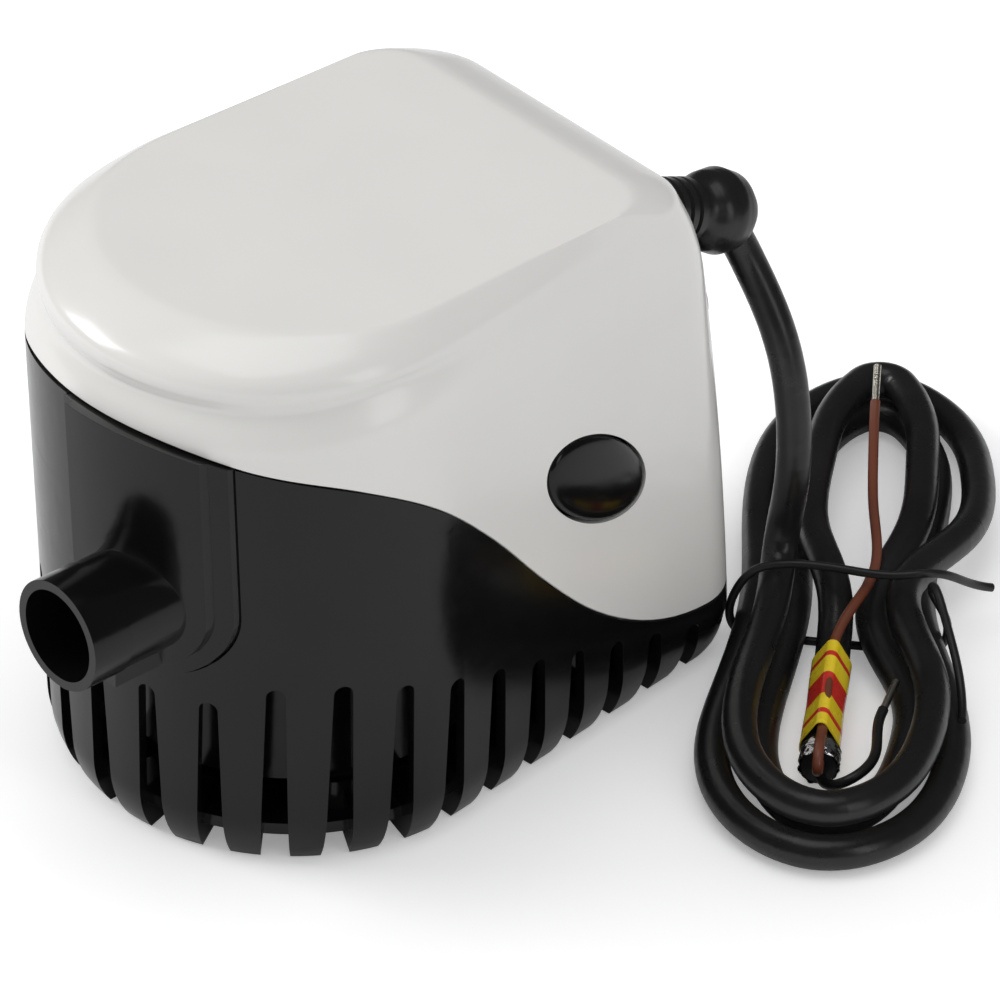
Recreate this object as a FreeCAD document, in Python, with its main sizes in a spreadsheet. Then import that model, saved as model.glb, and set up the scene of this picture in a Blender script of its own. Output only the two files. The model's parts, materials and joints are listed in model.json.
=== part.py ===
import FreeCAD, Part
import math
import os
import re
import Sketcher

# Automatic bilge pump: a submersible pump and float switch under a two-part shell.
# Millimetres. +Z is up, the hose outlet points to -Y, and the origin is on the floor
# under the motor shaft, which is also the centre of the rounded front of the shell.

Vector = FreeCAD.Vector
doc = FreeCAD.newDocument("bilge_pump")

SIZES = {
    # shell outline: a round front, straight converging sides, a flat rear with round corners
    "wall_radius": 43.0,
    "wall_lean": 0.055,
    "side_angle": 5.8,
    "rear_face": 81.5,
    "rear_slope": 0.08,
    "rear_curve": 0.0007,
    "corner_radius": 14.0,
    "wall": 2.2,
    "total_height": 107.0,
    # top cover
    "deck_radius": 35.0,
    "deck_rear": 51.0,
    "deck_corner": 9.0,
    "seam_front": 90.0,
    "seam_rear": 14.2,
    "seam_gap": 0.2,
    "crease_height": 95.5,
    "crease_inset": 3.4,
    "rim_height": 100.5,
    "rim_inset": 2.2,
    # strainer base
    "tip_inset": 3.4,
    "tip_curl": 11.0,
    "finger_depth": 7.0,
    "finger_height": 10.0,
    "slot_pitch": 10.5,
    "slot_top_width": 3.4,
    "slot_foot_width": 5.2,
    "slot_front_height": 35.2,
    "slot_side_height": 39.6,
    "slot_rear_height": 10.5,
    "floor_level": 4.0,
    "floor_plate": 2.4,
    "floor_screw_radius": 2.1,
    "floor_screw_spacing": 60.0,
    # outlet
    "outlet_x": 12.0,
    "outlet_height": 55.0,
    "outlet_mouth": 63.0,
    "outlet_radius": 10.0,
    "outlet_bore": 8.5,
    "outlet_band": 8.0,
    "outlet_band_step": 0.25,
    "plate_half_width": 15.6,
    "plate_raise": 0.9,
    "boss_half_width": 13.0,
    "boss_raise": 2.6,
    "notch_gap": 0.3,
    # pump housing, volute and sealed motor sleeve
    "housing_radius": 33.0,
    "housing_wall": 2.5,
    "housing_floor": 12.0,
    "housing_top": 72.0,
    "volute_plate": 2.0,
    "eye_radius": 9.0,
    "sleeve_radius": 24.0,
    "sleeve_wall": 2.2,
    "sleeve_floor": 27.0,
    "sleeve_plate": 3.0,
    "sleeve_top": 77.0,
    "flange_thickness": 2.5,
    "o_ring_radius": 0.58,
    "motor_cap_plate": 2.4,
    # motor
    "shaft_radius": 1.6,
    "shaft_foot": 17.0,
    "shaft_head": 74.5,
    "can_radius": 18.0,
    "can_wall": 1.2,
    "can_floor": 31.0,
    "can_height": 38.0,
    "magnet_thickness": 3.2,
    "magnet_height": 26.0,
    "rotor_radius": 12.8,
    "rotor_height": 20.0,
    "rotor_floor": 38.0,
    "rotor_slots": 5.0,
    "commutator_radius": 4.0,
    "commutator_height": 4.2,
    "bush_radius": 4.0,
    "running_gap": 0.05,
    "seal_radius": 6.0,
    "seal_height": 3.0,
    # impeller
    "impeller_radius": 19.0,
    "impeller_floor": 16.5,
    "impeller_disc": 1.8,
    "blade_height": 5.0,
    "blade_count": 6.0,
    "hub_radius": 4.2,
    # float switch
    "float_y": 50.0,
    "float_length": 20.0,
    "float_width": 30.0,
    "float_height": 22.0,
    "float_rest": 14.0,
    "stem_radius": 4.0,
    "stem_bore": 2.4,
    "stem_gap": 0.35,
    "chamber_wall": 1.6,
    "chamber_gap": 1.5,
    "chamber_top": 62.0,
    "reed_radius": 1.2,
    "reed_height": 16.0,
    # inner frame that carries the float chamber, the board and the cover
    "frame_level": 78.0,
    "frame_thickness": 2.6,
    "frame_inset": 5.2,
    # release buttons
    "button_y": 35.6,
    "button_height": 58.0,
    "button_length": 29.6,
    "button_width": 15.4,
    "button_tilt": 37.0,
    "bracket_x": 28.5,
    "button_gap": 0.5,
    "button_dome": 2.6,
    "button_stem": 3.5,
    # test button
    "test_x": 13.5,
    "test_height": 66.0,
    "test_radius": 9.0,
    "test_stand_out": 6.0,
    # cable and strain relief
    "boot_x": 17.0,
    "boot_height": 89.0,
    "boot_droop": 22.0,
    "boot_neck": 5.6,
    "boot_bulb": 7.9,
    "cable_radius": 3.2,
    "coil_x": 44.5,
    "coil_y": 96.5,
    "coil_angle": 49.0,
    "coil_length": 75.0,
    "coil_waist": 6.0,
    "wire_radius": 0.95,
    "tie_radius": 0.8,
    "tag_radius": 6.1,
    "tag_length": 26.0,
}

sizes = doc.addObject("Spreadsheet::Sheet", "sizes")
for row, (alias, number) in enumerate(SIZES.items(), start=1):
    sizes.set(f"A{row}", alias)
    sizes.set(f"B{row}", str(number))
    sizes.setAlias(f"B{row}", alias)
doc.recompute()
PARTS = []


def linked(text):
    """An expression in which every sheet alias is spelled out as sizes.alias."""
    def spell(match):
        word = match.group(0)
        return "sizes." + word if word in SIZES else word
    return re.sub(r"[a-z_][a-z0-9_]*", spell, str(text))


def size(text):
    """The number an expression in sheet aliases gives."""
    return float(sizes.evalExpression(linked(text).replace("sizes.", "")))


def bind(thing, **expressions):
    """Ties properties of an object to the sheet."""
    for name, text in expressions.items():
        thing.setExpression(name, linked(text))
    return thing


def put(thing, x="0", y="0", z="0", turn=None):
    """Places an object; turn is (axis, degrees)."""
    if turn:
        thing.Placement = FreeCAD.Placement(Vector(), FreeCAD.Rotation(*turn))
    for axis, text in (("x", x), ("y", y), ("z", z)):
        thing.setExpression(f"Placement.Base.{axis}", linked(text))
    return thing


X_AXIS = Vector(1, 0, 0)
Y_AXIS = Vector(0, 1, 0)
Z_AXIS = Vector(0, 0, 1)
TO_FRONT = (X_AXIS, 90)
TO_REAR = (X_AXIS, -90)
TO_RIGHT = (Y_AXIS, 90)


def box(name, dx, dy, dz, x="0", y="0", z="0"):
    """A box centred on x and y that stands on z."""
    block = bind(doc.addObject("Part::Box", name), Length=dx, Width=dy, Height=dz)
    return put(block, f"{x} - ({dx}) / 2", f"{y} - ({dy}) / 2", z)


def rod(name, radius, height, x="0", y="0", z="0", turn=None):
    bar = bind(doc.addObject("Part::Cylinder", name), Radius=radius, Height=height)
    return put(bar, x, y, z, turn)


def ring(name, outer, inner, height, x="0", y="0", z="0", turn=None):
    """A round tube made by cutting one cylinder from another."""
    return cut(name, rod(name + "_outer", outer, height, x, y, z, turn),
               rod(name + "_bore", inner, height, x, y, z, turn))


def cut(name, base, tool):
    result = doc.addObject("Part::Cut", name)
    result.Base = base
    result.Tool = tool
    return result


def cut_all(name, base, tools):
    return cut(name, base, fuse(name + "_tools", tools)) if len(tools) > 1 else cut(name, base, tools[0])


def fuse(name, pieces):
    result = doc.addObject("Part::MultiFuse", name)
    result.Shapes = pieces
    result.Refine = True
    return result


def common(name, pieces):
    result = doc.addObject("Part::MultiCommon", name)
    result.Shapes = pieces
    return result


def group(name, pieces):
    """Separate identical solids that share one node."""
    result = doc.addObject("Part::Compound", name)
    result.Links = pieces
    return result


def solid(name, shape):
    """A free-form shape that neither features nor primitives give."""
    thing = doc.addObject("Part::Feature", name)
    thing.Shape = shape
    return thing


def part(name, thing):
    """Names a finished sub-part."""
    thing.Label = name
    PARTS.append(thing)
    return thing


def origin_plane(body, role):
    return next(item for item in body.Origin.OriginFeatures if item.Role == role)


def turned(name, profile):
    """A body revolved about Z from (radius, height) corners given as expressions."""
    body = doc.addObject("PartDesign::Body", name)
    sketch = body.newObject("Sketcher::SketchObject", name + "_profile")
    sketch.AttachmentSupport = [(origin_plane(body, "XZ_Plane"), "")]
    sketch.MapMode = "FlatFace"
    corners = [Vector(size(radius), size(height), 0) for radius, height in profile]
    count = len(corners)
    for index in range(count):
        sketch.addGeometry(Part.LineSegment(corners[index], corners[(index + 1) % count]), False)
    for index in range(count):
        sketch.addConstraint(Sketcher.Constraint("Coincident", index, 2, (index + 1) % count, 1))
    for index, (radius, height) in enumerate(profile):
        if radius == "0":
            sketch.addConstraint(Sketcher.Constraint("PointOnObject", index, 1, -2))
        else:
            place = sketch.addConstraint(Sketcher.Constraint("DistanceX", -1, 1, index, 1, size(radius)))
            sketch.setExpression(f"Constraints[{place}]", linked(radius))
        place = sketch.addConstraint(Sketcher.Constraint("DistanceY", -1, 1, index, 1, size(height)))
        sketch.setExpression(f"Constraints[{place}]", linked(height))
    spin = body.newObject("PartDesign::Revolution", name + "_revolution")
    spin.Profile = sketch
    spin.ReferenceAxis = (sketch, ["V_Axis"])
    spin.Angle = 360
    return body


# ---------------------------------------------------------------- shell outline

def outline_numbers(level, inset):
    """Front radius and centre, side angle, rear face and corner radius at one height."""
    return {
        "radius": size("wall_radius") - inset,
        "centre": -size("wall_lean") * level,
        "angle": math.radians(size("side_angle")),
        "rear": size("rear_face") - size("rear_slope") * level
                - size("rear_curve") * level ** 2 - inset,
        "corner": max(size("corner_radius") - inset, 2.0),
    }


def deck_numbers(inset):
    """The same numbers for the flat deck, which is rounder and narrower."""
    return {
        "radius": size("deck_radius") - inset,
        "centre": 0.0,
        "angle": math.radians(1.0),
        "rear": size("deck_rear") - inset,
        "corner": max(size("deck_corner") - inset, 2.0),
    }


def mixed(first, second, share):
    return {key: first[key] * (1 - share) + second[key] * share for key in first}


def outline_wire(numbers, level):
    radius, centre, angle = numbers["radius"], numbers["centre"], numbers["angle"]
    rear, corner = numbers["rear"], numbers["corner"]
    across = Vector(math.cos(angle), math.sin(angle), 0)
    side = Vector(0, centre, level) + across * radius
    corner_y = rear - corner
    corner_x = (radius - corner - (corner_y - centre) * math.sin(angle)) / math.cos(angle)
    corner_centre = Vector(corner_x, corner_y, level)
    corner_start = corner_centre + across * corner
    corner_end = corner_centre + Y_AXIS * corner
    half = (angle + math.pi / 2) / 2
    corner_middle = corner_centre + Vector(math.cos(half), math.sin(half), 0) * corner

    def mirrored(point):
        return Vector(-point.x, point.y, point.z)

    front = Vector(0, centre - radius, level)
    edges = [
        Part.Arc(mirrored(side), front, side).toShape(),
        Part.LineSegment(side, corner_start).toShape(),
        Part.Arc(corner_start, corner_middle, corner_end).toShape(),
        Part.LineSegment(corner_end, mirrored(corner_end)).toShape(),
        Part.Arc(mirrored(corner_end), mirrored(corner_middle), mirrored(corner_start)).toShape(),
        Part.LineSegment(mirrored(corner_start), mirrored(side)).toShape(),
    ]
    return Part.Wire(edges)


def shell_solid(levels, ruled=False):
    """A solid lofted through outlines; levels holds (height, inset) pairs."""
    wires = [outline_wire(outline_numbers(level, inset), level) for level, inset in levels]
    return Part.makeLoft(wires, True, ruled)


def dome_solid(inset):
    """The raised dome of the cover, from the crease up to the deck."""
    height = size("total_height") - inset
    rim = size("rim_height")
    rise = height - rim
    rim_numbers = outline_numbers(rim, size("rim_inset") + inset)
    lower = [
        outline_wire(outline_numbers(size("crease_height") - 2 * inset,
                                     size("crease_inset") + inset),
                     size("crease_height") - 2 * inset),
        outline_wire(outline_numbers(size("crease_height") + 2, size("rim_inset") + 0.2 + inset),
                     size("crease_height") + 2),
        outline_wire(rim_numbers, rim),
    ]
    upper = [
        outline_wire(mixed(rim_numbers, deck_numbers(inset), share), rim + rise * lift)
        for share, lift in ((0.0, 0.0), (0.2, 0.32), (0.55, 0.66), (0.85, 0.92), (1.06, 1.0))
    ]
    return Part.makeLoft(lower, True, True).fuse(Part.makeLoft(upper, True, True)).removeSplitter()


def wall_point(distance, inset, level=0.0):
    """A point and its outward direction, at an arc length from the front centre."""
    numbers = outline_numbers(level, inset)
    radius, centre, angle = numbers["radius"], numbers["centre"], numbers["angle"]
    corner = numbers["corner"]
    sign = -1 if distance < 0 else 1
    left = abs(distance)
    arc = radius * (math.pi / 2 + angle)
    corner_y = numbers["rear"] - corner
    corner_x = (radius - corner - (corner_y - centre) * math.sin(angle)) / math.cos(angle)
    side = math.hypot(corner_x + corner * math.cos(angle) - radius * math.cos(angle),
                      corner_y + corner * math.sin(angle) - centre - radius * math.sin(angle))
    corner_arc = corner * (math.pi / 2 - angle)
    if left <= arc:
        turn = left / radius - math.pi / 2
        point = Vector(radius * math.cos(turn), centre + radius * math.sin(turn), level)
    elif left <= arc + side:
        turn = angle
        along = left - arc
        point = Vector(radius * math.cos(angle) - along * math.sin(angle),
                       centre + radius * math.sin(angle) + along * math.cos(angle), level)
    elif left <= arc + side + corner_arc:
        turn = angle + (left - arc - side) / corner
        point = Vector(corner_x + corner * math.cos(turn), corner_y + corner * math.sin(turn), level)
    else:
        turn = math.pi / 2
        point = Vector(corner_x - (left - arc - side - corner_arc), numbers["rear"], level)
    outward = Vector(math.cos(turn) * sign, math.sin(turn), 0)
    return Vector(point.x * sign, point.y, level), outward


def seam_region(name, above, gap=0.0):
    """The space above or below the wavy seam, as a slab across the whole width."""
    front, rear = size("seam_front"), size("seam_rear")
    waypoints = [(-70, 0.0), (-48, 0.0), (-35, 0.058), (-20, 0.125), (-5, 0.24), (9.5, 0.42),
                 (22.7, 0.62), (36, 0.797), (49.4, 0.92), (62, 0.985), (75, 1.0), (100, 1.0)]
    points = [Vector(0, y, front + (rear - front) * drop + gap) for y, drop in waypoints]
    curve = Part.BSplineCurve()
    curve.interpolate(points)
    edge = curve.toShape()
    limit = 140.0 if above else -20.0
    first, last = points[0], points[-1]
    corners = [last, Vector(0, last.y, limit), Vector(0, first.y, limit), first]
    face = Part.Face(Part.Wire([edge] + [Part.LineSegment(a, b).toShape()
                                         for a, b in zip(corners, corners[1:])]))
    slab = face.extrude(Vector(120, 0, 0))
    slab.translate(Vector(-60, 0, 0))
    return solid(name, slab)


def u_prism(name, half_width, depth_front=70.0, depth_rear=20.0):
    """A U-shaped block around the outlet axis, open to the top, running along Y."""
    x, z, top = size("outlet_x"), size("outlet_height"), 100.0
    y = -depth_front
    left_top, right_top = Vector(x - half_width, y, top), Vector(x + half_width, y, top)
    left, right = Vector(x - half_width, y, z), Vector(x + half_width, y, z)
    wire = Part.Wire([
        Part.LineSegment(left_top, left).toShape(),
        Part.Arc(left, Vector(x, y, z - half_width), right).toShape(),
        Part.LineSegment(right, right_top).toShape(),
        Part.LineSegment(right_top, left_top).toShape(),
    ])
    return solid(name, Part.Face(wire).extrude(Vector(0, depth_front - depth_rear, 0)))


def smooth_path(points, step):
    """A flowing path through the points, made of short straights joined by tangent arcs."""
    curve = Part.BSplineCurve()
    curve.interpolate(points)
    points = curve.discretize(Number=max(3, round(curve.length() / step)))
    lengths = [a.distanceToPoint(b) for a, b in zip(points, points[1:])]
    edges = []
    start = points[0]
    for index in range(1, len(points) - 1):
        corner = points[index]
        into = (corner - points[index - 1]).normalize()
        out = (points[index + 1] - corner).normalize()
        reach = min(lengths[index - 1], lengths[index]) * 0.49
        turn = into.getAngle(out)
        if turn < 0.01:
            continue
        arc_start, arc_end = corner - into * reach, corner + out * reach
        radius = reach / math.tan(turn / 2)
        inward = (out - into).normalize()
        middle = corner + inward * (radius / math.cos(turn / 2) - radius)
        edges.append(Part.LineSegment(start, arc_start).toShape())
        edges.append(Part.Arc(arc_start, middle, arc_end).toShape())
        start = arc_end
    edges.append(Part.LineSegment(start, points[-1]).toShape())
    return Part.Wire(edges)


def tube_along(points, radius, step):
    """A round tube along a smooth path through the points."""
    path = smooth_path(points, step)
    start = path.Edges[0]
    circle = Part.Circle(points[0], start.tangentAt(start.FirstParameter), radius).toShape()
    return path.makePipeShell([Part.Wire([circle])], True, False)


def region(name, first_level, last_level, inset, steps=6):
    """The space inside the shell outline between two heights."""
    rise = (last_level - first_level) / steps
    levels = [(first_level + rise * step, inset) for step in range(steps + 1)]
    return solid(name, shell_solid(levels))


# ---------------------------------------------------------------- strainer base

def slot_height(distance):
    """Height of a strainer slot: level round the front, then falling to the rear."""
    side, rear = size("slot_side_height"), size("slot_rear_height")
    start, end = 44.0, 130.0
    share = min(max((abs(distance) - start) / (end - start), 0.0), 1.0)
    return side + (rear - side) * share


def slot_cutter(distance, height):
    """A tapered slot with a rounded top, cut square through the wall."""
    point, outward = wall_point(distance, size("tip_inset"))
    along = Vector(-outward.y, outward.x, 0)
    top, foot = size("slot_top_width") / 2, size("slot_foot_width") / 2
    inner = point - outward * 16
    corners = {
        "foot_left": inner - along * foot + Vector(0, 0, -1),
        "foot_right": inner + along * foot + Vector(0, 0, -1),
        "top_right": inner + along * top + Vector(0, 0, height - top),
        "top_left": inner - along * top + Vector(0, 0, height - top),
    }
    crown = inner + Vector(0, 0, height)
    wire = Part.Wire([
        Part.LineSegment(corners["foot_left"], corners["foot_right"]).toShape(),
        Part.LineSegment(corners["foot_right"], corners["top_right"]).toShape(),
        Part.Arc(corners["top_right"], crown, corners["top_left"]).toShape(),
        Part.LineSegment(corners["top_left"], corners["foot_left"]).toShape(),
    ])
    return Part.Face(wire).extrude(outward * 30)


def make_strainer_base():
    curl, tip = size("tip_curl"), size("tip_inset")
    foot_levels = [(0, tip), (curl * 0.25, tip * 0.52), (curl * 0.6, tip * 0.14), (curl, 0)]
    foot = solid("strainer_foot", shell_solid(foot_levels))
    wall = region("strainer_wall", curl, 92.0, 0.0)
    outer = fuse("strainer_outer", [foot, wall])
    depth = size("finger_depth") + tip
    finger_room = region("finger_room", -1.0, size("finger_height"), depth, 2)
    wall_room = region("wall_room", size("finger_height"), 93.0, size("wall"))
    hollow = cut("strainer_hollow", outer, fuse("strainer_room", [finger_room, wall_room]))
    slots = []
    spacing = size("slot_pitch")
    for index in range(-16, 17):
        distance = index * spacing
        under_outlet = -0.5 < index < 2.5
        height = size("slot_front_height") if under_outlet else slot_height(distance)
        slots.append(slot_cutter(distance, height))
    slots.append(slot_cutter(17 * spacing, slot_height(17 * spacing)))
    slotted = cut("strainer_slotted", hollow, solid("strainer_slots", Part.makeCompound(slots)))
    floor_level, plate = size("floor_level"), size("floor_plate")
    floor = region("strainer_floor", floor_level, floor_level + plate, tip + 1.2, 1)
    screws = [rod(f"floor_hole_{side}", "floor_screw_radius", 10,
                  "0", f"32 {sign} floor_screw_spacing / 2", "0")
              for side, sign in (("front", "-"), ("rear", "+"))]
    posts = [rod(f"floor_post_{index}", 3.4, "housing_floor - floor_level - floor_plate",
                 x, y, "floor_level + floor_plate")
             for index, (x, y) in enumerate((("28", "-14.4"), ("-28", "-14.4"), ("0", "31.5")))]
    for side, sign in (("right", ""), ("left", "-")):
        posts.append(box(f"latch_post_{side}", 3, 6.8, 31, f"{sign}31.5", "button_y", "8"))
        posts.append(box(f"latch_shelf_{side}", 6.2, 6.8, 2, f"{sign}29.9", "button_y", "37"))
    joined = fuse("strainer_joined", [slotted, floor])
    drilled = cut_all("strainer_drilled", joined, screws)
    notched = cut("strainer_notched", drilled,
                  u_prism("notch", size("plate_half_width") + size("notch_gap")))
    base = cut("strainer_trimmed", notched, seam_region("seam_above", True, -size("seam_gap")))
    return part("strainer_base", fuse("strainer_base_body", [base] + posts))


# ---------------------------------------------------------------- top cover

COVER_SCREWS = (("22", "-19"), ("-22", "-19"), ("26", "46"), ("-26", "46"))

def oval_prism(name, length, width, depth, x_from, side):
    """The tilted oval outline of a release button, run along X from x_from."""
    centre = Vector(x_from, size("button_y"), size("button_height"))
    oval = Part.Ellipse(centre, length / 2, width / 2)
    tilt = math.radians(size("button_tilt"))
    oval.Axis = X_AXIS
    oval.AngleXU = 0.0
    edge = oval.toShape()
    long_axis = edge.valueAt(0.0) - centre
    turn = math.degrees(math.atan2(long_axis.z, long_axis.y))
    edge.rotate(centre, X_AXIS, 180 - math.degrees(tilt) - turn)
    prism = Part.Face(Part.Wire([edge])).extrude(Vector(depth, 0, 0))
    if side == "left":
        prism = prism.mirror(Vector(), X_AXIS)
    return solid(name, prism)


def make_top_cover():
    crease, wall = size("crease_height"), size("wall")
    levels = [(10.0, 0.0), (30.0, 0.0), (50.0, 0.0), (70.0, 0.0), (88.0, 0.0),
              (92.0, 1.2), (crease, size("crease_inset"))]
    inner_levels = [(9.0, wall), (30.0, wall), (50.0, wall), (70.0, wall), (86.0, wall),
                    (89.5, 1.2 + wall), (crease - 2 * wall + 0.2, size("crease_inset") + wall - 0.2)]
    outer = fuse("cover_outer", [solid("cover_skirt", shell_solid(levels)),
                                 solid("cover_dome", dome_solid(0.0))])
    room = fuse("cover_room", [solid("cover_skirt_room", shell_solid(inner_levels)),
                               solid("cover_dome_room", dome_solid(wall))])
    hollow = cut("cover_hollow", outer, room)
    trimmed = cut("cover_trimmed", hollow, seam_region("seam_below", False))
    length = size("button_length") + 2 * size("button_gap")
    width = size("button_width") + 2 * size("button_gap")
    windows = [oval_prism(f"window_{side}", length, width, 40.0, 20.0, side)
               for side in ("right", "left")]
    test_hole = rod("test_hole", "test_radius + 0.4", 30, "test_x", "60", "test_height", TO_REAR)
    boot_hole = bind(doc.addObject("Part::Cylinder", "boot_hole"), Radius="boot_neck + 0.6", Height="24")
    boot_hole.Placement = FreeCAD.Placement(
        boot_axis_point(-8.0), FreeCAD.Rotation(X_AXIS, -90 - size("boot_droop")))
    shell = cut_all("cover_pierced", trimmed, windows + [test_hole, boot_hole])
    bosses = []
    for index, (x, y) in enumerate(COVER_SCREWS):
        boss = rod(f"cover_boss_{index}", 3.2, "total_height - wall - frame_level - frame_thickness + 0.4",
                   x, y, "frame_level + frame_thickness")
        bosses.append(cut(f"cover_boss_bored_{index}", boss,
                          rod(f"cover_pilot_{index}", 1.25, 12, x, y, "frame_level")))
    return part("top_cover", fuse("cover_body", [shell] + bosses))


# ---------------------------------------------------------------- pump housing and outlet

def around(radius, angles):
    """Places on a circle about the motor axis, as expressions."""
    return [(f"{radius} * cos({angle})", f"{radius} * sin({angle})") for angle in angles]


EAR_PLACES = around("(housing_radius + 2.5)", (-6, 62, 118, 186))
VOLUTE_SCREWS = around("(housing_radius - 5.5)", (60, 180, 300))
FRAME_SCREWS = around("(housing_radius - 4.5)", (30, 150, 270))


def make_pump_housing():
    barrel = rod("housing_barrel", "housing_radius", "housing_top - housing_floor",
                 z="housing_floor")
    plate_zone = u_prism("plate_zone", size("plate_half_width"), 70.0, 22.0)
    boss_zone = u_prism("boss_zone", size("boss_half_width"), 70.0, 22.0)
    plate_outer = region("plate_outer", 36.0, 92.0, -size("plate_raise"), 3)
    boss_outer = region("boss_outer", 36.0, 92.0, -size("boss_raise"), 3)
    plate_inner = region("plate_inner", 35.0, 93.0, 1.9, 3)
    plate = cut("plate", common("plate_block", [plate_zone, plate_outer]), plate_inner)
    boss = common("boss", [boss_zone, boss_outer])
    trimmed = cut("plate_trimmed", fuse("plate_and_boss", [plate, boss]),
                  seam_region("seam_above_plate", True, -size("seam_gap")))
    top_room = box("boss_top_block", 60, 36, 60, "0", "-23.5", "housing_top - 3")
    low_boss = cut("boss_low", trimmed, common("boss_top_room", [top_room, plate_inner]))
    tube = rod("outlet_tube", "outlet_radius", "outlet_mouth - 20", "outlet_x", "-20",
               "outlet_height", TO_FRONT)
    band = rod("outlet_tip_band", "outlet_radius + outlet_band_step", "outlet_band",
               "outlet_x", "outlet_band - outlet_mouth", "outlet_height", TO_FRONT)
    # the rib stops short of the tip band, so that a hose can be pushed right over the band
    rib = box("outlet_rib", 11, 10.8, 12, "outlet_x", "outlet_band - outlet_mouth + 5.6",
              "outlet_height - outlet_radius - 1.6")
    body = fuse("housing_outer", [barrel, low_boss, tube, band, rib])
    bore = rod("outlet_bore_room", "outlet_bore", "outlet_mouth - 20", "outlet_x", "-22",
               "outlet_height", TO_FRONT)
    long_bore = rod("outlet_bore_end", "outlet_bore", 8, "outlet_x", "6 - outlet_mouth",
                    "outlet_height", TO_FRONT)
    room = rod("housing_room", "housing_radius - housing_wall", "housing_top - housing_floor + 2",
               z="housing_floor - 1")
    open_body = cut_all("housing_open", body, [bore, long_bore, room])
    step = ring("housing_step", "housing_radius - housing_wall + 0.01", "housing_radius - 8.5", 2.0,
                z="housing_floor + volute_plate")
    ears = [rod(f"housing_ear_{index}", 3.4, 8, x, y, "housing_top - 8")
            for index, (x, y) in enumerate(EAR_PLACES)]
    joined = fuse("housing_joined", [open_body, step] + [
        cut(f"housing_ear_trimmed_{index}", ear,
            rod(f"ear_room_{index}", "housing_radius - 1", 12, z="housing_top - 10"))
        for index, ear in enumerate(ears)])
    pilots = [rod(f"ear_pilot_{index}", 1.25, 12, x, y, "housing_top - 10")
              for index, (x, y) in enumerate(EAR_PLACES)]
    pilots += [rod(f"step_pilot_{index}", 1.25, 6, x, y, "housing_floor")
               for index, (x, y) in enumerate(VOLUTE_SCREWS)]
    return part("pump_housing", cut_all("housing_body", joined, pilots))


def make_volute_cover():
    disc = rod("volute_disc", "housing_radius - housing_wall - 0.1", "volute_plate", z="housing_floor")
    eye = rod("eye_room", "eye_radius", 12, z="housing_floor - 5")
    lip = ring("eye_lip", "eye_radius + 1.8", "eye_radius", 2.4, z="housing_floor - 2.4")
    plate = cut("volute_plate_body", disc, eye)
    holes = [rod(f"volute_hole_{index}", 1.3, 6, x, y, "housing_floor - 2")
             for index, (x, y) in enumerate(VOLUTE_SCREWS)]
    return part("volute_cover", cut_all("volute_cover_body", fuse("volute_joined", [plate, lip]), holes))


def screw(name, head_radius, shank_radius, length, x, y, z, up=True):
    """A pan-head screw whose shank points up or down from z."""
    head_base = f"({z}) - 1.4" if up else z
    shank_base = z if up else f"({z}) - ({length})"
    head = rod(name + "_head", head_radius, 1.4, x, y, head_base)
    shank = rod(name + "_shank", shank_radius, length, x, y, shank_base)
    drive = box(name + "_drive", 0.7, head_radius * 1.3, 0.6, x, y,
                head_base if up else f"({z}) + 0.8")
    return cut(name, fuse(name + "_blank", [head, shank]), drive)


def make_motor_housing():
    outer = rod("sleeve_outer", "sleeve_radius", "sleeve_top - sleeve_floor", z="sleeve_floor")
    flange = rod("sleeve_flange", "housing_radius", "flange_thickness", z="housing_top")
    room = rod("sleeve_room", "sleeve_radius - sleeve_wall", 60, z="sleeve_floor + sleeve_plate")
    seal_room = rod("seal_room", "seal_radius", 10, z="sleeve_floor - 2")
    ledge = ring("seal_ledge", "seal_radius + 0.01", "shaft_radius + 1.6", 1.0,
                 z="sleeve_floor + seal_height")
    collar = ring("seal_collar", "seal_radius + 1.8", "seal_radius", 2.0, z="sleeve_floor + 2")
    vanes = [box(f"vane_{index}", 1.6, 3.4, 22) for index in range(6)]
    for index, vane in enumerate(vanes):
        angle = math.radians(35 + 60 * index)
        vane.Placement = FreeCAD.Placement(
            Vector(25.4 * math.cos(angle), 25.4 * math.sin(angle), 33),
            FreeCAD.Rotation(Z_AXIS, 35 + 60 * index + 90))
        vane.setExpression("Placement.Base.z", "sizes.sleeve_floor + 5")
    groove = ring("ring_groove", "housing_radius - 0.6", "housing_radius - 2.0", 1.4,
                  z="housing_top - 0.2")
    lugs = [rod(f"flange_lug_{index}", 3.4, "flange_thickness", x, y, "housing_top")
            for index, (x, y) in enumerate(EAR_PLACES)]
    holes = [rod(f"flange_hole_{index}", 1.35, 6, x, y, "housing_top - 1")
             for index, (x, y) in enumerate(EAR_PLACES + FRAME_SCREWS)]
    blank = fuse("sleeve_blank", [outer, flange] + vanes + lugs)
    bored = cut_all("sleeve_bored", blank, [room, seal_room, groove] + holes)
    return part("motor_housing", fuse("motor_housing_body", [bored, ledge, collar]))


def make_motor_closure():
    plate = rod("cap_plate", "sleeve_radius", "motor_cap_plate", z="sleeve_top")
    plug = ring("cap_plug", "sleeve_radius - sleeve_wall - 0.05", "sleeve_radius - sleeve_wall - 2", 2.0,
                z="sleeve_top - 2")
    passage = rod("lead_passage", 2.0, 8, "0", "12", "sleeve_top - 2")
    part("motor_cap", cut("motor_cap_body", fuse("motor_cap_blank", [plate, plug]), passage))
    o_ring = bind(doc.addObject("Part::Torus", "flange_o_ring_body"),
                  Radius1="housing_radius - 1.3", Radius2="o_ring_radius")
    put(o_ring, z="housing_top + 0.6")
    part("housing_o_ring", o_ring)


# ---------------------------------------------------------------- motor

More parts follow.
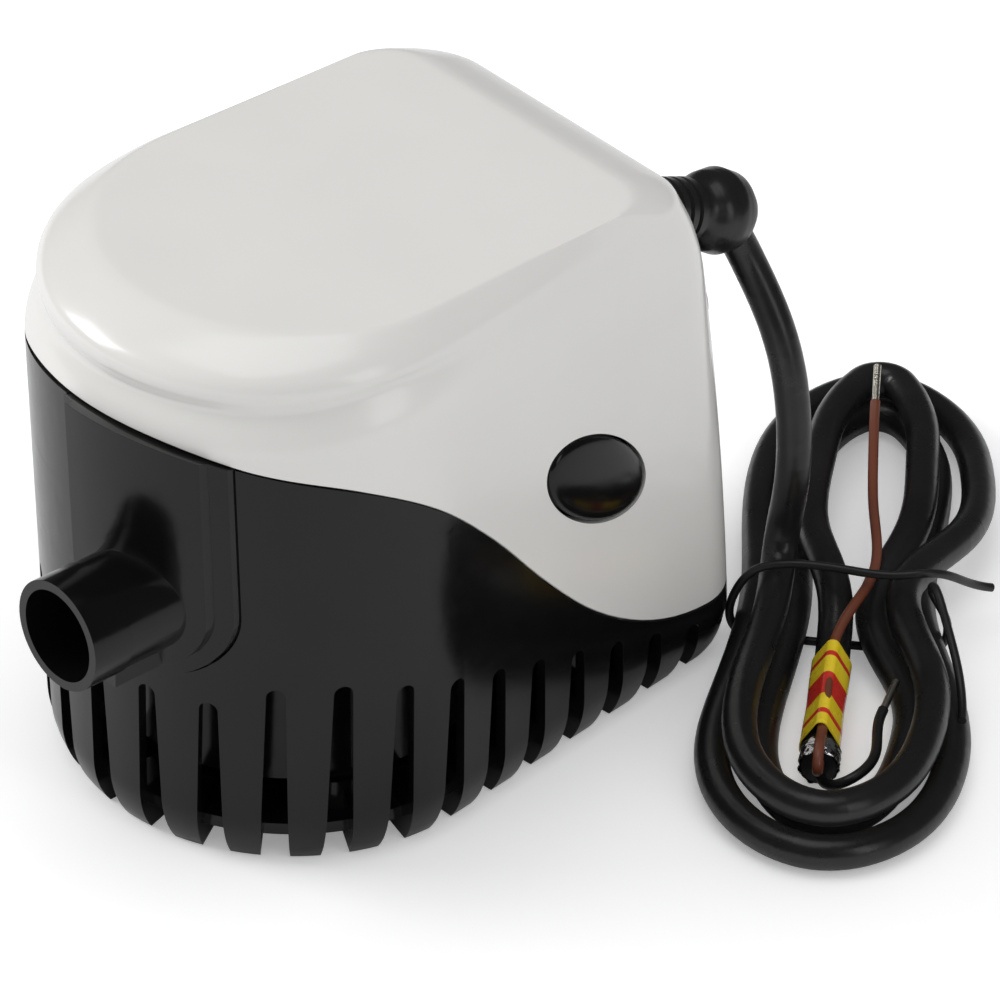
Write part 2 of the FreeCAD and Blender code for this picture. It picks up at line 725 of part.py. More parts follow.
def make_motor():
    can = turned("motor_can_body", [
        ("shaft_radius + 1.6", "can_floor"), ("can_radius", "can_floor"),
        ("can_radius", "can_floor + can_height"),
        ("can_radius - can_wall", "can_floor + can_height"),
        ("can_radius - can_wall", "can_floor + can_wall"),
        ("bush_radius + 0.6", "can_floor + can_wall"),
        ("bush_radius + 0.6", "can_floor + 4"), ("bush_radius", "can_floor + 4"),
        ("bush_radius", "can_floor + can_wall"), ("shaft_radius + 1.6", "can_floor + can_wall")])
    part("motor_can", can)
    bell = turned("end_bell_body", [
        ("bush_radius", "can_floor + can_height - 3"),
        ("can_radius - can_wall", "can_floor + can_height - 3"),
        ("can_radius - can_wall", "can_floor + can_height"),
        ("can_radius", "can_floor + can_height"),
        ("can_radius", "can_floor + can_height + 1.4"),
        ("bush_radius + 1.6", "can_floor + can_height + 1.4"),
        ("bush_radius + 1.6", "can_floor + can_height + 3"),
        ("bush_radius", "can_floor + can_height + 3")])
    part("motor_end_bell", bell)
    inner = "can_radius - can_wall - magnet_thickness"
    for side, start in (("left", 125), ("right", -55)):
        outer_arc = bind(doc.addObject("Part::Cylinder", f"magnet_{side}_outer"),
                         Radius="can_radius - can_wall", Height="magnet_height")
        outer_arc.Angle = 110
        outer_arc.Placement.Rotation = FreeCAD.Rotation(Z_AXIS, start)
        outer_arc.setExpression("Placement.Base.z", "sizes.can_floor + 6")
        bore = rod(f"magnet_{side}_bore", inner, "magnet_height + 2", z="can_floor + 5")
        part(f"magnet_{side}", cut(f"magnet_{side}_body", outer_arc, bore))
    for name, base in (("lower", "can_floor + can_wall"), ("upper", "can_floor + can_height - 3")):
        bush = turned(f"{name}_bush_body", [
            ("shaft_radius + running_gap", base), ("bush_radius", base),
            ("bush_radius", f"{base} + 2.8"), ("shaft_radius + running_gap", f"{base} + 2.8")])
        part(f"{name}_bush", bush)
    make_rotor()
    make_brushes()


def turn_about_shaft(thing, angle, x, y, z):
    """Places a thing at x, y, z and then turns it about the shaft."""
    turn = FreeCAD.Rotation(Z_AXIS, angle)
    thing.Placement = FreeCAD.Placement(turn.multVec(Vector(x, y, z)), turn)
    return thing


def make_rotor():
    shaft = turned("shaft_body", [
        ("0", "shaft_foot"), ("shaft_radius - 0.3", "shaft_foot"), ("shaft_radius", "shaft_foot + 0.3"),
        ("shaft_radius", "shaft_head - 0.3"), ("shaft_radius - 0.3", "shaft_head"), ("0", "shaft_head")])
    part("motor_shaft", shaft)
    core = rod("core_blank", "rotor_radius", "rotor_height", z="rotor_floor")
    shaft_room = rod("core_bore", "shaft_radius", "rotor_height + 2", z="rotor_floor - 1")
    slots = []
    count = int(size("rotor_slots"))
    floor = size("rotor_floor") - 1
    for index in range(count):
        angle = 360 / count * index
        pocket = bind(doc.addObject("Part::Cylinder", f"core_pocket_{index}"),
                      Radius="2.6", Height="rotor_height + 2")
        mouth = bind(doc.addObject("Part::Box", f"core_mouth_{index}"),
                     Length="8", Width="1.2", Height="rotor_height + 2")
        slots += [turn_about_shaft(pocket, angle, 8.6, 0.0, floor),
                  turn_about_shaft(mouth, angle, 8.0, -0.6, floor)]
    part("armature_core", cut_all("core_body", core, [shaft_room] + slots))
    coils = [ring("winding_low", 11.4, 5.8, 3.0, z="rotor_floor - 3"),
             ring("winding_high", 11.4, 5.8, 3.0, z="rotor_floor + rotor_height")]
    for index in range(count):
        angle = 360 / count * index
        coils.append(rod(f"winding_side_{index}", 2.4, "rotor_height + 2",
                         f"8.6 * cos({angle})", f"8.6 * sin({angle})", "rotor_floor - 1"))
    part("armature_winding", fuse("winding_body", coils))
    base = "rotor_floor + rotor_height + 3.4"
    drum = ring("commutator_drum", "commutator_radius", "shaft_radius", "commutator_height", z=base)
    gaps = []
    for index in range(count):
        gap = bind(doc.addObject("Part::Box", f"commutator_gap_{index}"),
                   Length="12", Width="0.4", Height="commutator_height + 1")
        gaps.append(turn_about_shaft(gap, 360 / count * index, 2.6, -0.2, size(base) - 0.5))
    part("commutator", cut_all("commutator_body", drum, gaps))


def make_brushes():
    level = "rotor_floor + rotor_height + 4"
    brushes, springs = [], []
    for side, sign in (("left", "-"), ("right", "+")):
        brushes.append(box(f"brush_{side}", 5, 3, 3,
                           f"{sign}(commutator_radius + 2.55)", "0", level))
        springs.append(ring(f"brush_spring_{side}", 1.2, 0.8, 3.0,
                            f"{sign}(commutator_radius + 5.1)" if sign == "+"
                            else "-(commutator_radius + 8.1)", "0", f"{level} + 1.5", TO_RIGHT))
    part("brushes", group("brushes_group", brushes))
    part("brush_springs", group("brush_springs_group", springs))


# ---------------------------------------------------------------- impeller and seal

def make_impeller():
    disc = ring("impeller_disc_body", "impeller_radius", "shaft_radius", "impeller_disc",
                z="impeller_floor + blade_height")
    hub = ring("impeller_hub", "hub_radius", "shaft_radius", "blade_height + impeller_disc + 1.4",
               z="impeller_floor + 0.6")
    blades = []
    count = int(size("blade_count"))
    for index in range(count):
        turn = 2 * math.pi / count * index
        sides = []
        for offset in (-0.6, 0.6):
            curve = [Vector(reach * math.cos(turn + sweep + offset / reach),
                            reach * math.sin(turn + sweep + offset / reach), size("impeller_floor"))
                     for reach, sweep in ((3.6, 0.0), (8.0, 0.34), (13.5, 0.62), (18.8, 0.80))]
            spline = Part.BSplineCurve()
            spline.interpolate(curve)
            sides.append((curve, spline.toShape()))
        (first, first_edge), (second, second_edge) = sides
        ends = [Part.LineSegment(first[0], second[0]).toShape(),
                Part.LineSegment(first[-1], second[-1]).toShape()]
        wire = Part.Wire(Part.__sortEdges__([first_edge, ends[0], second_edge, ends[1]]))
        blades.append(solid(f"blade_{index}",
                            Part.Face(wire).extrude(Vector(0, 0, size("blade_height") + 0.2))))
    bore = rod("impeller_bore", "shaft_radius", 20, z="impeller_floor - 2")
    part("impeller", cut("impeller_body", fuse("impeller_blank", [disc, hub] + blades), bore))
    seal = turned("shaft_seal_body", [
        ("shaft_radius + 0.08", "sleeve_floor + 0.2"), ("seal_radius", "sleeve_floor + 0.2"),
        ("seal_radius", "sleeve_floor + seal_height"),
        ("shaft_radius + 1.6", "sleeve_floor + seal_height"),
        ("shaft_radius + 0.9", "sleeve_floor + 1.6"), ("shaft_radius + 0.08", "sleeve_floor + 1.0")])
    part("shaft_seal", seal)


# ---------------------------------------------------------------- float switch

def make_float_switch():
    length, width = "float_length", "float_width"
    wall, gap = "chamber_wall", "chamber_gap"
    height = "frame_level - float_rest + 6"
    outer = box("chamber_outer", f"{width} + 2 * ({wall} + {gap})",
                f"{length} + 2 * ({wall} + {gap})", height, "0", "float_y", "float_rest - 6")
    room = box("chamber_room", f"{width} + 2 * {gap}", f"{length} + 2 * {gap}",
               "chamber_top - float_rest + 8", "0", "float_y", "float_rest - 8")
    ports = [box(f"chamber_port_{index}", 60, 4, 9, "0", y, "float_rest - 8")
             for index, y in enumerate(("float_y - 8", "float_y", "float_y + 8"))]
    upper_room = box("chamber_upper", f"{width} + 2 * {gap} - 4", f"{length} + 2 * {gap} - 4",
                     "frame_level - chamber_top", "0", "float_y", "chamber_top + 2")
    stem_seat = rod("stem_seat", "stem_radius", 4, "0", "float_y", "chamber_top - 1")
    part("float_chamber", cut_all("chamber_body", outer, [room, upper_room, stem_seat] + ports))
    stem = rod("stem_outer", "stem_radius", "chamber_top + 2 - float_rest + 4", "0", "float_y",
               "float_rest - 4")
    stem_room = rod("stem_room", "stem_bore", "chamber_top - float_rest + 8", "0", "float_y",
                    "float_rest - 2")
    part("switch_stem", cut("switch_stem_body", stem, stem_room))
    block = box("float_block", width, length, "float_height", "0", "float_y", "float_rest")
    bore = rod("float_bore", "stem_radius + stem_gap", "float_height + 4", "0", "float_y",
               "float_rest - 2")
    seat = rod("magnet_seat", "stem_radius + 3.4", 4.2, "0", "float_y",
               "float_rest + float_height - 4.2")
    part("float", cut_all("float_body", block, [bore, seat]))
    part("float_magnet", ring("float_magnet_body", "stem_radius + 3.35", "stem_radius + stem_gap + 0.25",
                              4, "0", "float_y", "float_rest + float_height - 4.2"))
    part("stem_stop", ring("stem_stop_body", "stem_radius + 3", "stem_radius", 1.2, "0", "float_y",
                           "float_rest - 1.6"))
    glass = rod("reed_glass", "reed_radius", "reed_height", "0", "float_y", "float_rest + 30")
    legs = [rod(f"reed_leg_{end}", 0.3, 3, "0", "float_y", z)
            for end, z in (("low", "float_rest + 27.2"), ("high", "float_rest + 29.8 + reed_height"))]
    part("reed_switch", fuse("reed_switch_body", [glass] + legs))


def make_inner_frame():
    level, thick = size("frame_level"), size("frame_thickness")
    plate = region("frame_plate", level, level + thick, size("frame_inset"), 1)
    sleeve_room = rod("frame_sleeve_room", "sleeve_radius + 0.4", 12, z="frame_level - 4")
    wire_room = rod("frame_wire_room", 3.0, 12, "0", "36", "frame_level - 4")
    outlet_room = box("frame_outlet_room", 70, 24, 12, "0", "-50", "frame_level - 4")
    stem_room = rod("frame_stem_room", "stem_radius + 1", 12, "0", "float_y", "frame_level - 4")
    brackets = []
    for side, sign in (("right", ""), ("left", "-")):
        wing = box(f"bracket_{side}", 2.4, 14, "frame_level - button_height + 6.5",
                   f"{sign}bracket_x", "button_y", "button_height - 6.5")
        guide = rod(f"guide_{side}", "button_stem + 0.2", 12,
                    "24" if side == "right" else "-36", "button_y", "button_height", TO_RIGHT)
        brackets.append(cut(f"bracket_bored_{side}", wing, guide))
    posts = [rod(f"frame_post_{index}", 2.9, "frame_level - housing_top - flange_thickness", x, y,
                 "housing_top + flange_thickness") for index, (x, y) in enumerate(FRAME_SCREWS)]
    rooms = [rod(f"frame_post_room_{index}", 1.35, 12, x, y, "housing_top - 1")
             for index, (x, y) in enumerate(FRAME_SCREWS)]
    rooms += [rod(f"frame_hole_{index}", 1.5, 8, x, y, "frame_level - 2")
              for index, (x, y) in enumerate(COVER_SCREWS)]
    joined = fuse("frame_joined", [plate] + brackets + posts)
    return part("inner_frame", cut_all("inner_frame_body", joined,
                                       [sleeve_room, wire_room, stem_room, outlet_room] + rooms))


def make_screws():
    """Each set of identical screws shares one node."""
    sets = {
        "volute_cover_screws": (2.2, 1.2, "3.6", VOLUTE_SCREWS, "housing_floor", True),
        "motor_flange_screws": (2.4, 1.2, "7.6", EAR_PLACES, "housing_top + flange_thickness", False),
        "frame_screws": (2.4, 1.3, "frame_level + frame_thickness - housing_top - 0.4", FRAME_SCREWS,
                         "frame_level + frame_thickness", False),
        "cover_screws": (2.4, 1.2, "9", COVER_SCREWS, "frame_level", True),
    }
    for name, (head, shank, length, places, level, up) in sets.items():
        part(name, group(name + "_group", [
            screw(f"{name}_{index}", head, shank, length, x, y, level, up)
            for index, (x, y) in enumerate(places)]))


def make_control_board():
    level = "frame_level + frame_thickness"
    board = box("board_plate", 24, 20, 1.6, "-6", "48", f"{level} + 3")
    feet = [rod(f"board_foot_{index}", 2, 3, x, y, level)
            for index, (x, y) in enumerate((("-15", "41"), ("3", "41"), ("-15", "55"), ("3", "55")))]
    part("control_board", fuse("control_board_body", [board] + feet))
    part("relay", box("relay_body", 12, 10, 9, "-9", "48", f"{level} + 4.6"))


# ---------------------------------------------------------------- buttons

WIRE_FLATS = 8


def helix_spring(name, radius, wire, pitch, length, place, turn):
    """A compression spring along its own Z, its wire drawn with eight flats, then placed."""
    helix = Part.makeHelix(pitch, length - 2 * wire, radius)
    angles = [2 * math.pi * step / WIRE_FLATS for step in range(WIRE_FLATS)]
    corners = [Vector(radius + wire * math.cos(angle), 0, wire * math.sin(angle))
               for angle in angles]
    shell = Part.BRepOffsetAPI.MakePipeShell(Part.Wire(helix.Edges))
    shell.setFrenetMode(True)
    shell.add(Part.makePolygon(corners + corners[:1]))
    shell.build()
    shell.makeSolid()
    spring = solid(name, shell.shape())
    spring.Placement = FreeCAD.Placement(place, FreeCAD.Rotation(*turn))
    return spring


def make_release_buttons():
    y, z = size("button_y"), size("button_height")
    length, width = size("button_length"), size("button_width")
    face = outline_numbers(z, 0.0)
    wall_x = (face["radius"] - (y - face["centre"]) * math.sin(face["angle"])) / math.cos(face["angle"])
    for side, sign in (("right", 1), ("left", -1)):
        cap = oval_prism(f"button_cap_{side}", length, width, 9.0, wall_x - 4.6, side)
        dome_radius = 60.0
        dome_centre = wall_x + size("button_dome") - 1.2 - dome_radius
        dome = solid(f"button_dome_{side}",
                     Part.makeSphere(dome_radius, Vector(sign * dome_centre, y, z)))
        domed = common(f"button_domed_{side}", [cap, dome])
        stem_start = "24" if side == "right" else "-36.5"
        stem = rod(f"button_stem_{side}", "button_stem", 12.5, stem_start, "button_y",
                   "button_height", TO_RIGHT)
        mirror = "" if side == "right" else "-"
        arm = box(f"button_arm_{side}", 2, 6.4, "button_height - 34.4", f"{mirror}25", "button_y", "34.4")
        tooth = box(f"button_tooth_{side}", 3.4, 6.4, 2.4, f"{mirror}26.8", "button_y", "34.4")
        part(f"release_button_{side}",
             fuse(f"release_button_{side}_body", [domed, stem, arm, tooth]))
        seat = size("bracket_x") + 1.4
        start = seat * sign
        turn = (Y_AXIS, 90) if side == "right" else (Y_AXIS, -90)
        room = wall_x - 4.6 - seat
        part(f"button_spring_{side}",
             helix_spring(f"button_spring_{side}_body", size("button_stem") + 1.1, 0.3, 1.3,
                          room - 0.4, Vector(start + 0.4 * sign, y, z), turn))


def make_test_button():
    x, z = size("test_x"), size("test_height")
    face = outline_numbers(z, 0.0)["rear"]
    back = face - 4.4
    cap = turned("test_cap", [
        ("0", "0"), ("test_radius", "0"), ("test_radius", "test_stand_out + 2.4"),
        ("test_radius - 0.8", "test_stand_out + 3.6"), ("test_radius - 2.4", "test_stand_out + 4.4"),
        ("0", "test_stand_out + 4.4")])
    cap.Placement = FreeCAD.Placement(Vector(x, back, z), FreeCAD.Rotation(*TO_REAR))
    cap.setExpression("Placement.Base.x", "sizes.test_x")
    cap.setExpression("Placement.Base.z", "sizes.test_height")
    recess = rod("test_recess", 2.05, 3, "test_x", f"{back - 1.3:.3f}", "test_height", TO_REAR)
    flange = rod("test_flange", "test_radius + 1.6", 1.2, "test_x", f"{back - 1.2:.3f}",
                 "test_height", TO_REAR)
    part("test_button", cut("test_button_body", fuse("test_blank", [cap, flange]), recess))
    part("test_magnet", rod("test_magnet_body", 2.0, 1.8, "test_x", f"{back - 0.9:.3f}",
                            "test_height", TO_REAR))
    chamber_rear = size("float_y + float_length / 2 + chamber_wall + chamber_gap")
    part("test_spring", helix_spring("test_spring_body", 4.6, 0.3, 1.3,
                                     back - 1.2 - chamber_rear - 0.4,
                                     Vector(x, chamber_rear + 0.4, z), TO_REAR))


# ---------------------------------------------------------------- cable and strain relief

def boot_axis_point(distance):
    droop = math.radians(size("boot_droop"))
    return Vector(size("boot_x"), 66.0 + distance * math.cos(droop),
                  size("boot_height") + 0.8 - distance * math.sin(droop))


CABLE_END = 51.0


def hang_points():
    """The cable from inside the cover, through the boot and down to the coil."""
    x = size("boot_x")
    bulb = boot_axis_point(18.5)
    return [boot_axis_point(-16.0), boot_axis_point(-8.0), boot_axis_point(0.0),
            boot_axis_point(10.0), bulb, bulb + Vector(2.6, 5.0, -9.0),
            Vector(x + 11, 90, 60), Vector(x + 16, 90, 45),
            Vector(x + 17.5, 89, 29)]


def coil_point(along, aside, height):
    """A point of the floor coil: along its length, aside from it, and up."""
    angle = math.radians(size("coil_angle"))
    forward = Vector(math.cos(angle), -math.sin(angle), 0)
    across = Vector(math.sin(angle), math.cos(angle), 0)
    centre = Vector(size("coil_x"), size("coil_y"), 0)
    return centre + forward * along + across * aside + Vector(0, 0, height)


def lobe(reach, spread, start, end, layers, last_layer):
    """Half a turn of the coil: layers gives the height of each point, 0 on the floor, 1 above it."""
    low = size("cable_radius") + 0.3
    layer = 2 * size("cable_radius") + 0.5
    waist = size("coil_waist")
    shares = ((0.30, 0.94), (0.62, 1.0), (0.88, 0.68), (1.0, 0.0),
              (0.88, -0.68), (0.62, -1.0), (0.30, -0.94))
    points = []
    for (share_along, share_aside), height in zip(shares, layers):
        side = start if share_aside > 0 else end
        aside = math.copysign(spread * abs(share_aside), side)
        along = waist + (reach - waist) * share_along
        points.append(coil_point(along, aside, low + layer * height))
    points.append(coil_point(waist, end, low + layer * last_layer))
    return points


def cable_points():
    """Three turns: the first lies on the other two, and the end lies inside them."""
    reach = size("coil_length") - size("cable_radius")
    floor = [0.0] * 7
    waist = 0.28
    top = 1.3
    points = hang_points()
    points += [coil_point(-2.0, -13.8, 16.6), coil_point(6.0, -13.8, 12.2)]
    points += lobe(reach - 3.5, 16.6, -13.8, 9.2, [1.0] * 7, top)
    points += lobe(-reach - 2, 19.8, 9.2, -17.4, [1.0, 0.45, 0.05, 0, 0, 0, 0.04], waist)
    points += lobe(reach, 21.0, -17.4, 13.2, floor, waist)
    points += lobe(-reach + 6.0, 12.4, 13.2, -10.4, floor, waist)
    points += lobe(reach - 8.5, 12.8, -10.4, 4.0, floor, 0.45)
    points += lobe(-reach + 3.5, 9.6, 4.0, -2.6, [1.0, 1.04, 1.0, 1.0, 1.0, 1.04, 1.04], 0.95)
    end_height = size("tag_radius") + 0.25
    points += [coil_point(16.0, -2.1, end_height + 0.4), coil_point(26.0, -1.9, end_height),
               coil_point(38.0, -1.8, end_height), coil_point(CABLE_END, -1.6, end_height)]
    return points


def rod_onwards(name, points, step, radius, length, start=0.0):
    """A straight rod carrying on beyond the last of the points, or beginning before it."""
    last = smooth_path(points, step).Edges[-1]
    direction = last.tangentAt(last.LastParameter)
    return solid(name, Part.makeCylinder(radius, length, points[-1] + direction * start, direction))


def make_wires():
    """The two leads beyond the jacket, each with a tinned tip, and the tag round the end."""
    end_height = size("tag_radius") + 0.25
    radius = size("wire_radius")
    over = end_height + size("cable_radius") + radius + 0.48
    end = CABLE_END + 0.5
    leads = {
        "positive_lead": [coil_point(end, -1.6, end_height + 1.5),
                          coil_point(end + 3.0, -1.6, end_height + 1.9),
                          coil_point(end + 5.2, -1.6, over - 0.4), coil_point(end + 3.0, -1.7, over + 1.4),
                          coil_point(end - 3.0, -1.7, over + 0.3),
                          coil_point(end - 10.0, -1.8, over), coil_point(end - 22.0, -1.9, over),
                          coil_point(end - 31.5, -1.9, over), coil_point(end - 38.0, -0.2, over + 1.7),
                          coil_point(5.0, 2.8, 13.7),
                          coil_point(-20.0, 2.0, 12.5), coil_point(-38.0, 0.4, 13.0),
                          coil_point(-50.0, -0.4, 16.5)],
        "negative_lead": [coil_point(end, -1.2, end_height - 1.5),
                          coil_point(end + 3.2, 0.4, end_height - 0.8),
                          coil_point(end + 4.8, 3.4, 7.8), coil_point(end + 2.0, 6.6, 8.8),
                          coil_point(end - 8.0, 8.0, 8.4), coil_point(end - 17.0, 8.4, 8.2)],
    }
    for name, points in leads.items():
        part(name, solid(name + "_body", tube_along(points, radius, 2.0)))
        part(name + "_tip", rod_onwards(name + "_tip_body", points, 2.0, radius - 0.25, 8.0))


def make_tag():
    """A printed sleeve round the cable end and the lead that is folded back along it."""
    points = cable_points()
    outer = rod_onwards("tag_outer", points, 6.0, size("tag_radius"), size("tag_length"),
                        -5.0 - size("tag_length"))
    inner = rod_onwards("tag_inner", points, 6.0, size("tag_radius") - 0.25, size("tag_length") + 4.0,
                        -7.0 - size("tag_length"))
    part("cable_tag", cut("cable_tag_body", outer, inner))
    cap = rod_onwards("end_outer", points, 6.0, size("cable_radius") + 0.45, 4.5, -4.5)
    room = rod_onwards("end_inner", points, 6.0, size("cable_radius") + 0.06, 6.5, -5.5)
    part("end_sleeve", cut("end_sleeve_body", cap, room))


def make_twist_tie():
    waist = [(-12.0, 25.0, 8.0), (-6.5, 19.5, 13.0), (-1.2, 13.8, 17.6),
             (0.0, 8.8, 17.4), (0.0, -2.0, 17.6), (0.0, -13.0, 17.4), (0.0, -17.4, 15.8),
             (0.0, -21.2, 9.8), (0.0, -21.9, 5.3), (0.0, -20.4, 1.9), (0.0, -16.5, 0.95),
             (0.0, -2.0, 0.9), (0.0, 12.5, 0.95), (0.0, 16.4, 1.9), (0.4, 17.9, 5.3),
             (0.8, 17.0, 10.5), (1.4, 14.4, 16.0), (3.0, 14.8, 18.0),
             (9.0, 17.5, 15.5), (18.0, 21.0, 10.0), (28.0, 22.5, 7.0)]
    points = [coil_point(size("coil_waist") + along, aside, height)
              for along, aside, height in waist]
    part("twist_tie", solid("twist_tie_body", tube_along(points, size("tie_radius"), 2.0)))


def make_cable():
    jacket = tube_along(cable_points(), size("cable_radius"), 6.0)
    part("cable_jacket", solid("cable_jacket_body", jacket))
    bore = solid("clamp_bore", tube_along(hang_points(), size("cable_radius") + 0.08, 6.0))
    clamp = box("clamp_block", 14, 5, 19, "boot_x", "55.6", "frame_level + frame_thickness")
    part("cord_clamp", cut("cord_clamp_body", clamp, bore))
    neck = size("boot_neck")
    boot_profile = [(0.0, 0.0), (neck + 0.5, 0.0), (neck + 0.5, 8.6), (neck - 0.6, 8.7)]
    for index in range(3):
        start = 9.5 + index * 2.4
        boot_profile += [(neck - 0.6, start - 0.1), (neck + 0.5, start),
                         (neck + 0.5, start + 1.4), (neck - 0.6, start + 1.5)]
    bulb = size("boot_bulb")
    for angle in (-50, -25, 0, 25, 50, 72):
        tilt = math.radians(angle)
        boot_profile.append((bulb * math.cos(tilt), 24.0 + bulb * math.sin(tilt)))
    boot_profile.append((0.0, 24.0 + bulb * math.sin(math.radians(72))))
    outline = Part.makePolygon([Vector(radius, 0, z) for radius, z in boot_profile + [boot_profile[0]]])
    boot = Part.Face(outline).revolve(Vector(), Z_AXIS, 360)
    boot_solid = solid("boot_blank", boot)
    base = boot_axis_point(-5.5)
    boot_solid.Placement = FreeCAD.Placement(base, FreeCAD.Rotation(X_AXIS, -90 - size("boot_droop")))
    bore = solid("boot_bore", tube_along(hang_points(), size("cable_radius") + 0.08, 6.0))
    part("strain_relief", cut("strain_relief_body", boot_solid, bore))


# ---------------------------------------------------------------- build, check and write

make_strainer_base()
make_top_cover()
make_pump_housing()
make_volute_cover()
make_motor_housing()
make_motor_closure()
make_motor()
make_impeller()
make_float_switch()
make_inner_frame()
make_control_board()
make_release_buttons()
make_test_button()
make_screws()
make_cable()
make_wires()
make_tag()
make_twist_tie()

doc.recompute()
os.makedirs("parts", exist_ok=True)
for thing in doc.Objects:
    assert "Invalid" not in thing.State and "Error" not in thing.State, thing.Name
for thing in PARTS:
    shape = thing.Shape
    assert not shape.isNull() and shape.isValid(), thing.Label
    print(f"{thing.Label:24s} solids {len(shape.Solids):2d} volume {shape.Volume:10.1f}")
    shape.exportStep(f"parts/{thing.Label}.step")
print("nodes", len(PARTS))
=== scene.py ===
import json
import math

import bmesh
import bpy
from mathutils import Matrix, Vector


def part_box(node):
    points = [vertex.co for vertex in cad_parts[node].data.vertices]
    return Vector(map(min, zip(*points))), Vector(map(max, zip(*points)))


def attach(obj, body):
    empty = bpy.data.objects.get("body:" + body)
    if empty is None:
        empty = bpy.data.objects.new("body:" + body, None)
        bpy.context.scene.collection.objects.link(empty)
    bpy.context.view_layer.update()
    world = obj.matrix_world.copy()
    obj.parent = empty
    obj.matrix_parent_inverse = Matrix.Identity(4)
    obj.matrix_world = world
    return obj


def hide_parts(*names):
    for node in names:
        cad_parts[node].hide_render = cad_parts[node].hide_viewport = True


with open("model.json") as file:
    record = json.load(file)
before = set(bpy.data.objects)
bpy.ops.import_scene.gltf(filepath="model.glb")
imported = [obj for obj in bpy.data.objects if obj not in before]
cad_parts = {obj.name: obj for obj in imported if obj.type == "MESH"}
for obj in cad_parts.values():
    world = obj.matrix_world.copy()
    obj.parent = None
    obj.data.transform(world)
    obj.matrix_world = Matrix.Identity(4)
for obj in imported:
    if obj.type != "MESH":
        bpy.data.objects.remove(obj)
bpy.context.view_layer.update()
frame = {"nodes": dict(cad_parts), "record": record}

# Shapes are worked out in millimetres; MM turns them into metres.
MM = 0.001

# ---------------------------------------------------------------- driving dimensions

WALL_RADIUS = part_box("strainer_base")[1].x / MM
TOTAL_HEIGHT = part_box("top_cover")[1].z / MM
SEAM_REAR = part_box("top_cover")[0].z / MM
SEAM_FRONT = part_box("strainer_base")[1].z / MM + 0.2
WALL_LEAN = 0.055
SIDE_ANGLE = math.radians(5.8)
REAR_FACE = 81.5
REAR_SLOPE = 0.08
REAR_CURVE = 0.0007
CORNER_RADIUS = 14.0
WALL = 2.0
RIM_HEIGHT = 100.5
DECK_RADIUS = 35.0
DECK_REAR = 51.0
DECK_CORNER = 9.0

BUTTON_Y = 35.6
BUTTON_HEIGHT = 58.0
BUTTON_LENGTH = 29.6
BUTTON_WIDTH = 15.4
BUTTON_TILT = math.radians(37.0)
WINDOW_GAP = 0.5

# (height above the wall, share of the outline) from the hidden skirt up to the crown of the button
BUTTON_PROFILE = ((-4.4, 0.96), (-4.2, 1.0), (-1.0, 1.0), (-0.25, 0.995), (0.15, 0.975), (0.42, 0.94),
                  (0.72, 0.86), (1.05, 0.72), (1.32, 0.54), (1.5, 0.34), (1.6, 0.14))
BUTTON_SKIRT_TOP = -1.1

BOOT_X = 17.0
BOOT_Y = 66.0
BOOT_HEIGHT = 89.8
BOOT_DROOP = math.radians(22.0)
BOOT_NECK_RADIUS = 6.1

# how far the cutters reach through the side and rear walls of the cover
SIDE_CUT = (25.0, 60.0)
REAR_CUT = (60.0, 95.0)
BOOT_CUT = (-10.0, 20.0)


# ---------------------------------------------------------------- small helpers

def smoothstep(value, start, end):
    share = min(max((value - start) / (end - start), 0.0), 1.0)
    return share * share * (3 - 2 * share)


def through(points, value):
    """A smooth curve through (position, height) points, read at one position."""
    if value <= points[0][0]:
        return points[0][1]
    for index in range(len(points) - 1):
        here, there = points[index], points[index + 1]
        if value <= there[0]:
            before = points[max(index - 1, 0)]
            after = points[min(index + 2, len(points) - 1)]
            width = there[0] - here[0]
            start_slope = (there[1] - before[1]) / (there[0] - before[0]) * width
            end_slope = (after[1] - here[1]) / (after[0] - here[0]) * width
            s = (value - here[0]) / width
            return (here[1] * (2 * s ** 3 - 3 * s ** 2 + 1) + start_slope * (s ** 3 - 2 * s ** 2 + s)
                    + there[1] * (3 * s ** 2 - 2 * s ** 3) + end_slope * (s ** 3 - s ** 2))
    return points[-1][1]


def new_object(name, points, faces, material):
    """A mesh from points in millimetres, with its faces turned one way."""
    mesh = bpy.data.meshes.new(name)
    mesh.from_pydata([Vector(point) * MM for point in points], [], faces)
    mesh.validate()
    sorter = bmesh.new()
    sorter.from_mesh(mesh)
    bmesh.ops.recalc_face_normals(sorter, faces=sorter.faces)
    sorter.to_mesh(mesh)
    sorter.free()
    mesh.materials.append(material)
    made = bpy.data.objects.new(name, mesh)
    bpy.context.scene.collection.objects.link(made)
    return made


def settle(thing):
    """Applies the modifiers of an object to its mesh."""
    depsgraph = bpy.context.evaluated_depsgraph_get()
    thing.data = bpy.data.meshes.new_from_object(thing.evaluated_get(depsgraph))
    thing.modifiers.clear()


def round_shading(thing, degrees=32):
    thing.data.polygons.foreach_set("use_smooth", [True] * len(thing.data.polygons))
    thing.data.set_sharp_from_angle(angle=math.radians(degrees))
    thing.data.update()


def sweep(name, rings, material, closed=True):
    """A skin over rings of equal point counts, with flat ends where closed."""
    around = len(rings[0])
    points = [point for ring in rings for point in ring]
    faces = [(level * around + step, level * around + (step + 1) % around,
              (level + 1) * around + (step + 1) % around, (level + 1) * around + step)
             for level in range(len(rings) - 1) for step in range(around)]
    if closed:
        faces += [tuple(reversed(range(around))),
                  tuple(range(len(points) - around, len(points)))]
    return new_object(name, points, faces, material)


# ---------------------------------------------------------------- materials

def nodes_of(name):
    material = bpy.data.materials.new(name)
    material.use_nodes = True
    tree = material.node_tree
    shader = next(node for node in tree.nodes if node.type == "BSDF_PRINCIPLED")
    return material, tree, shader


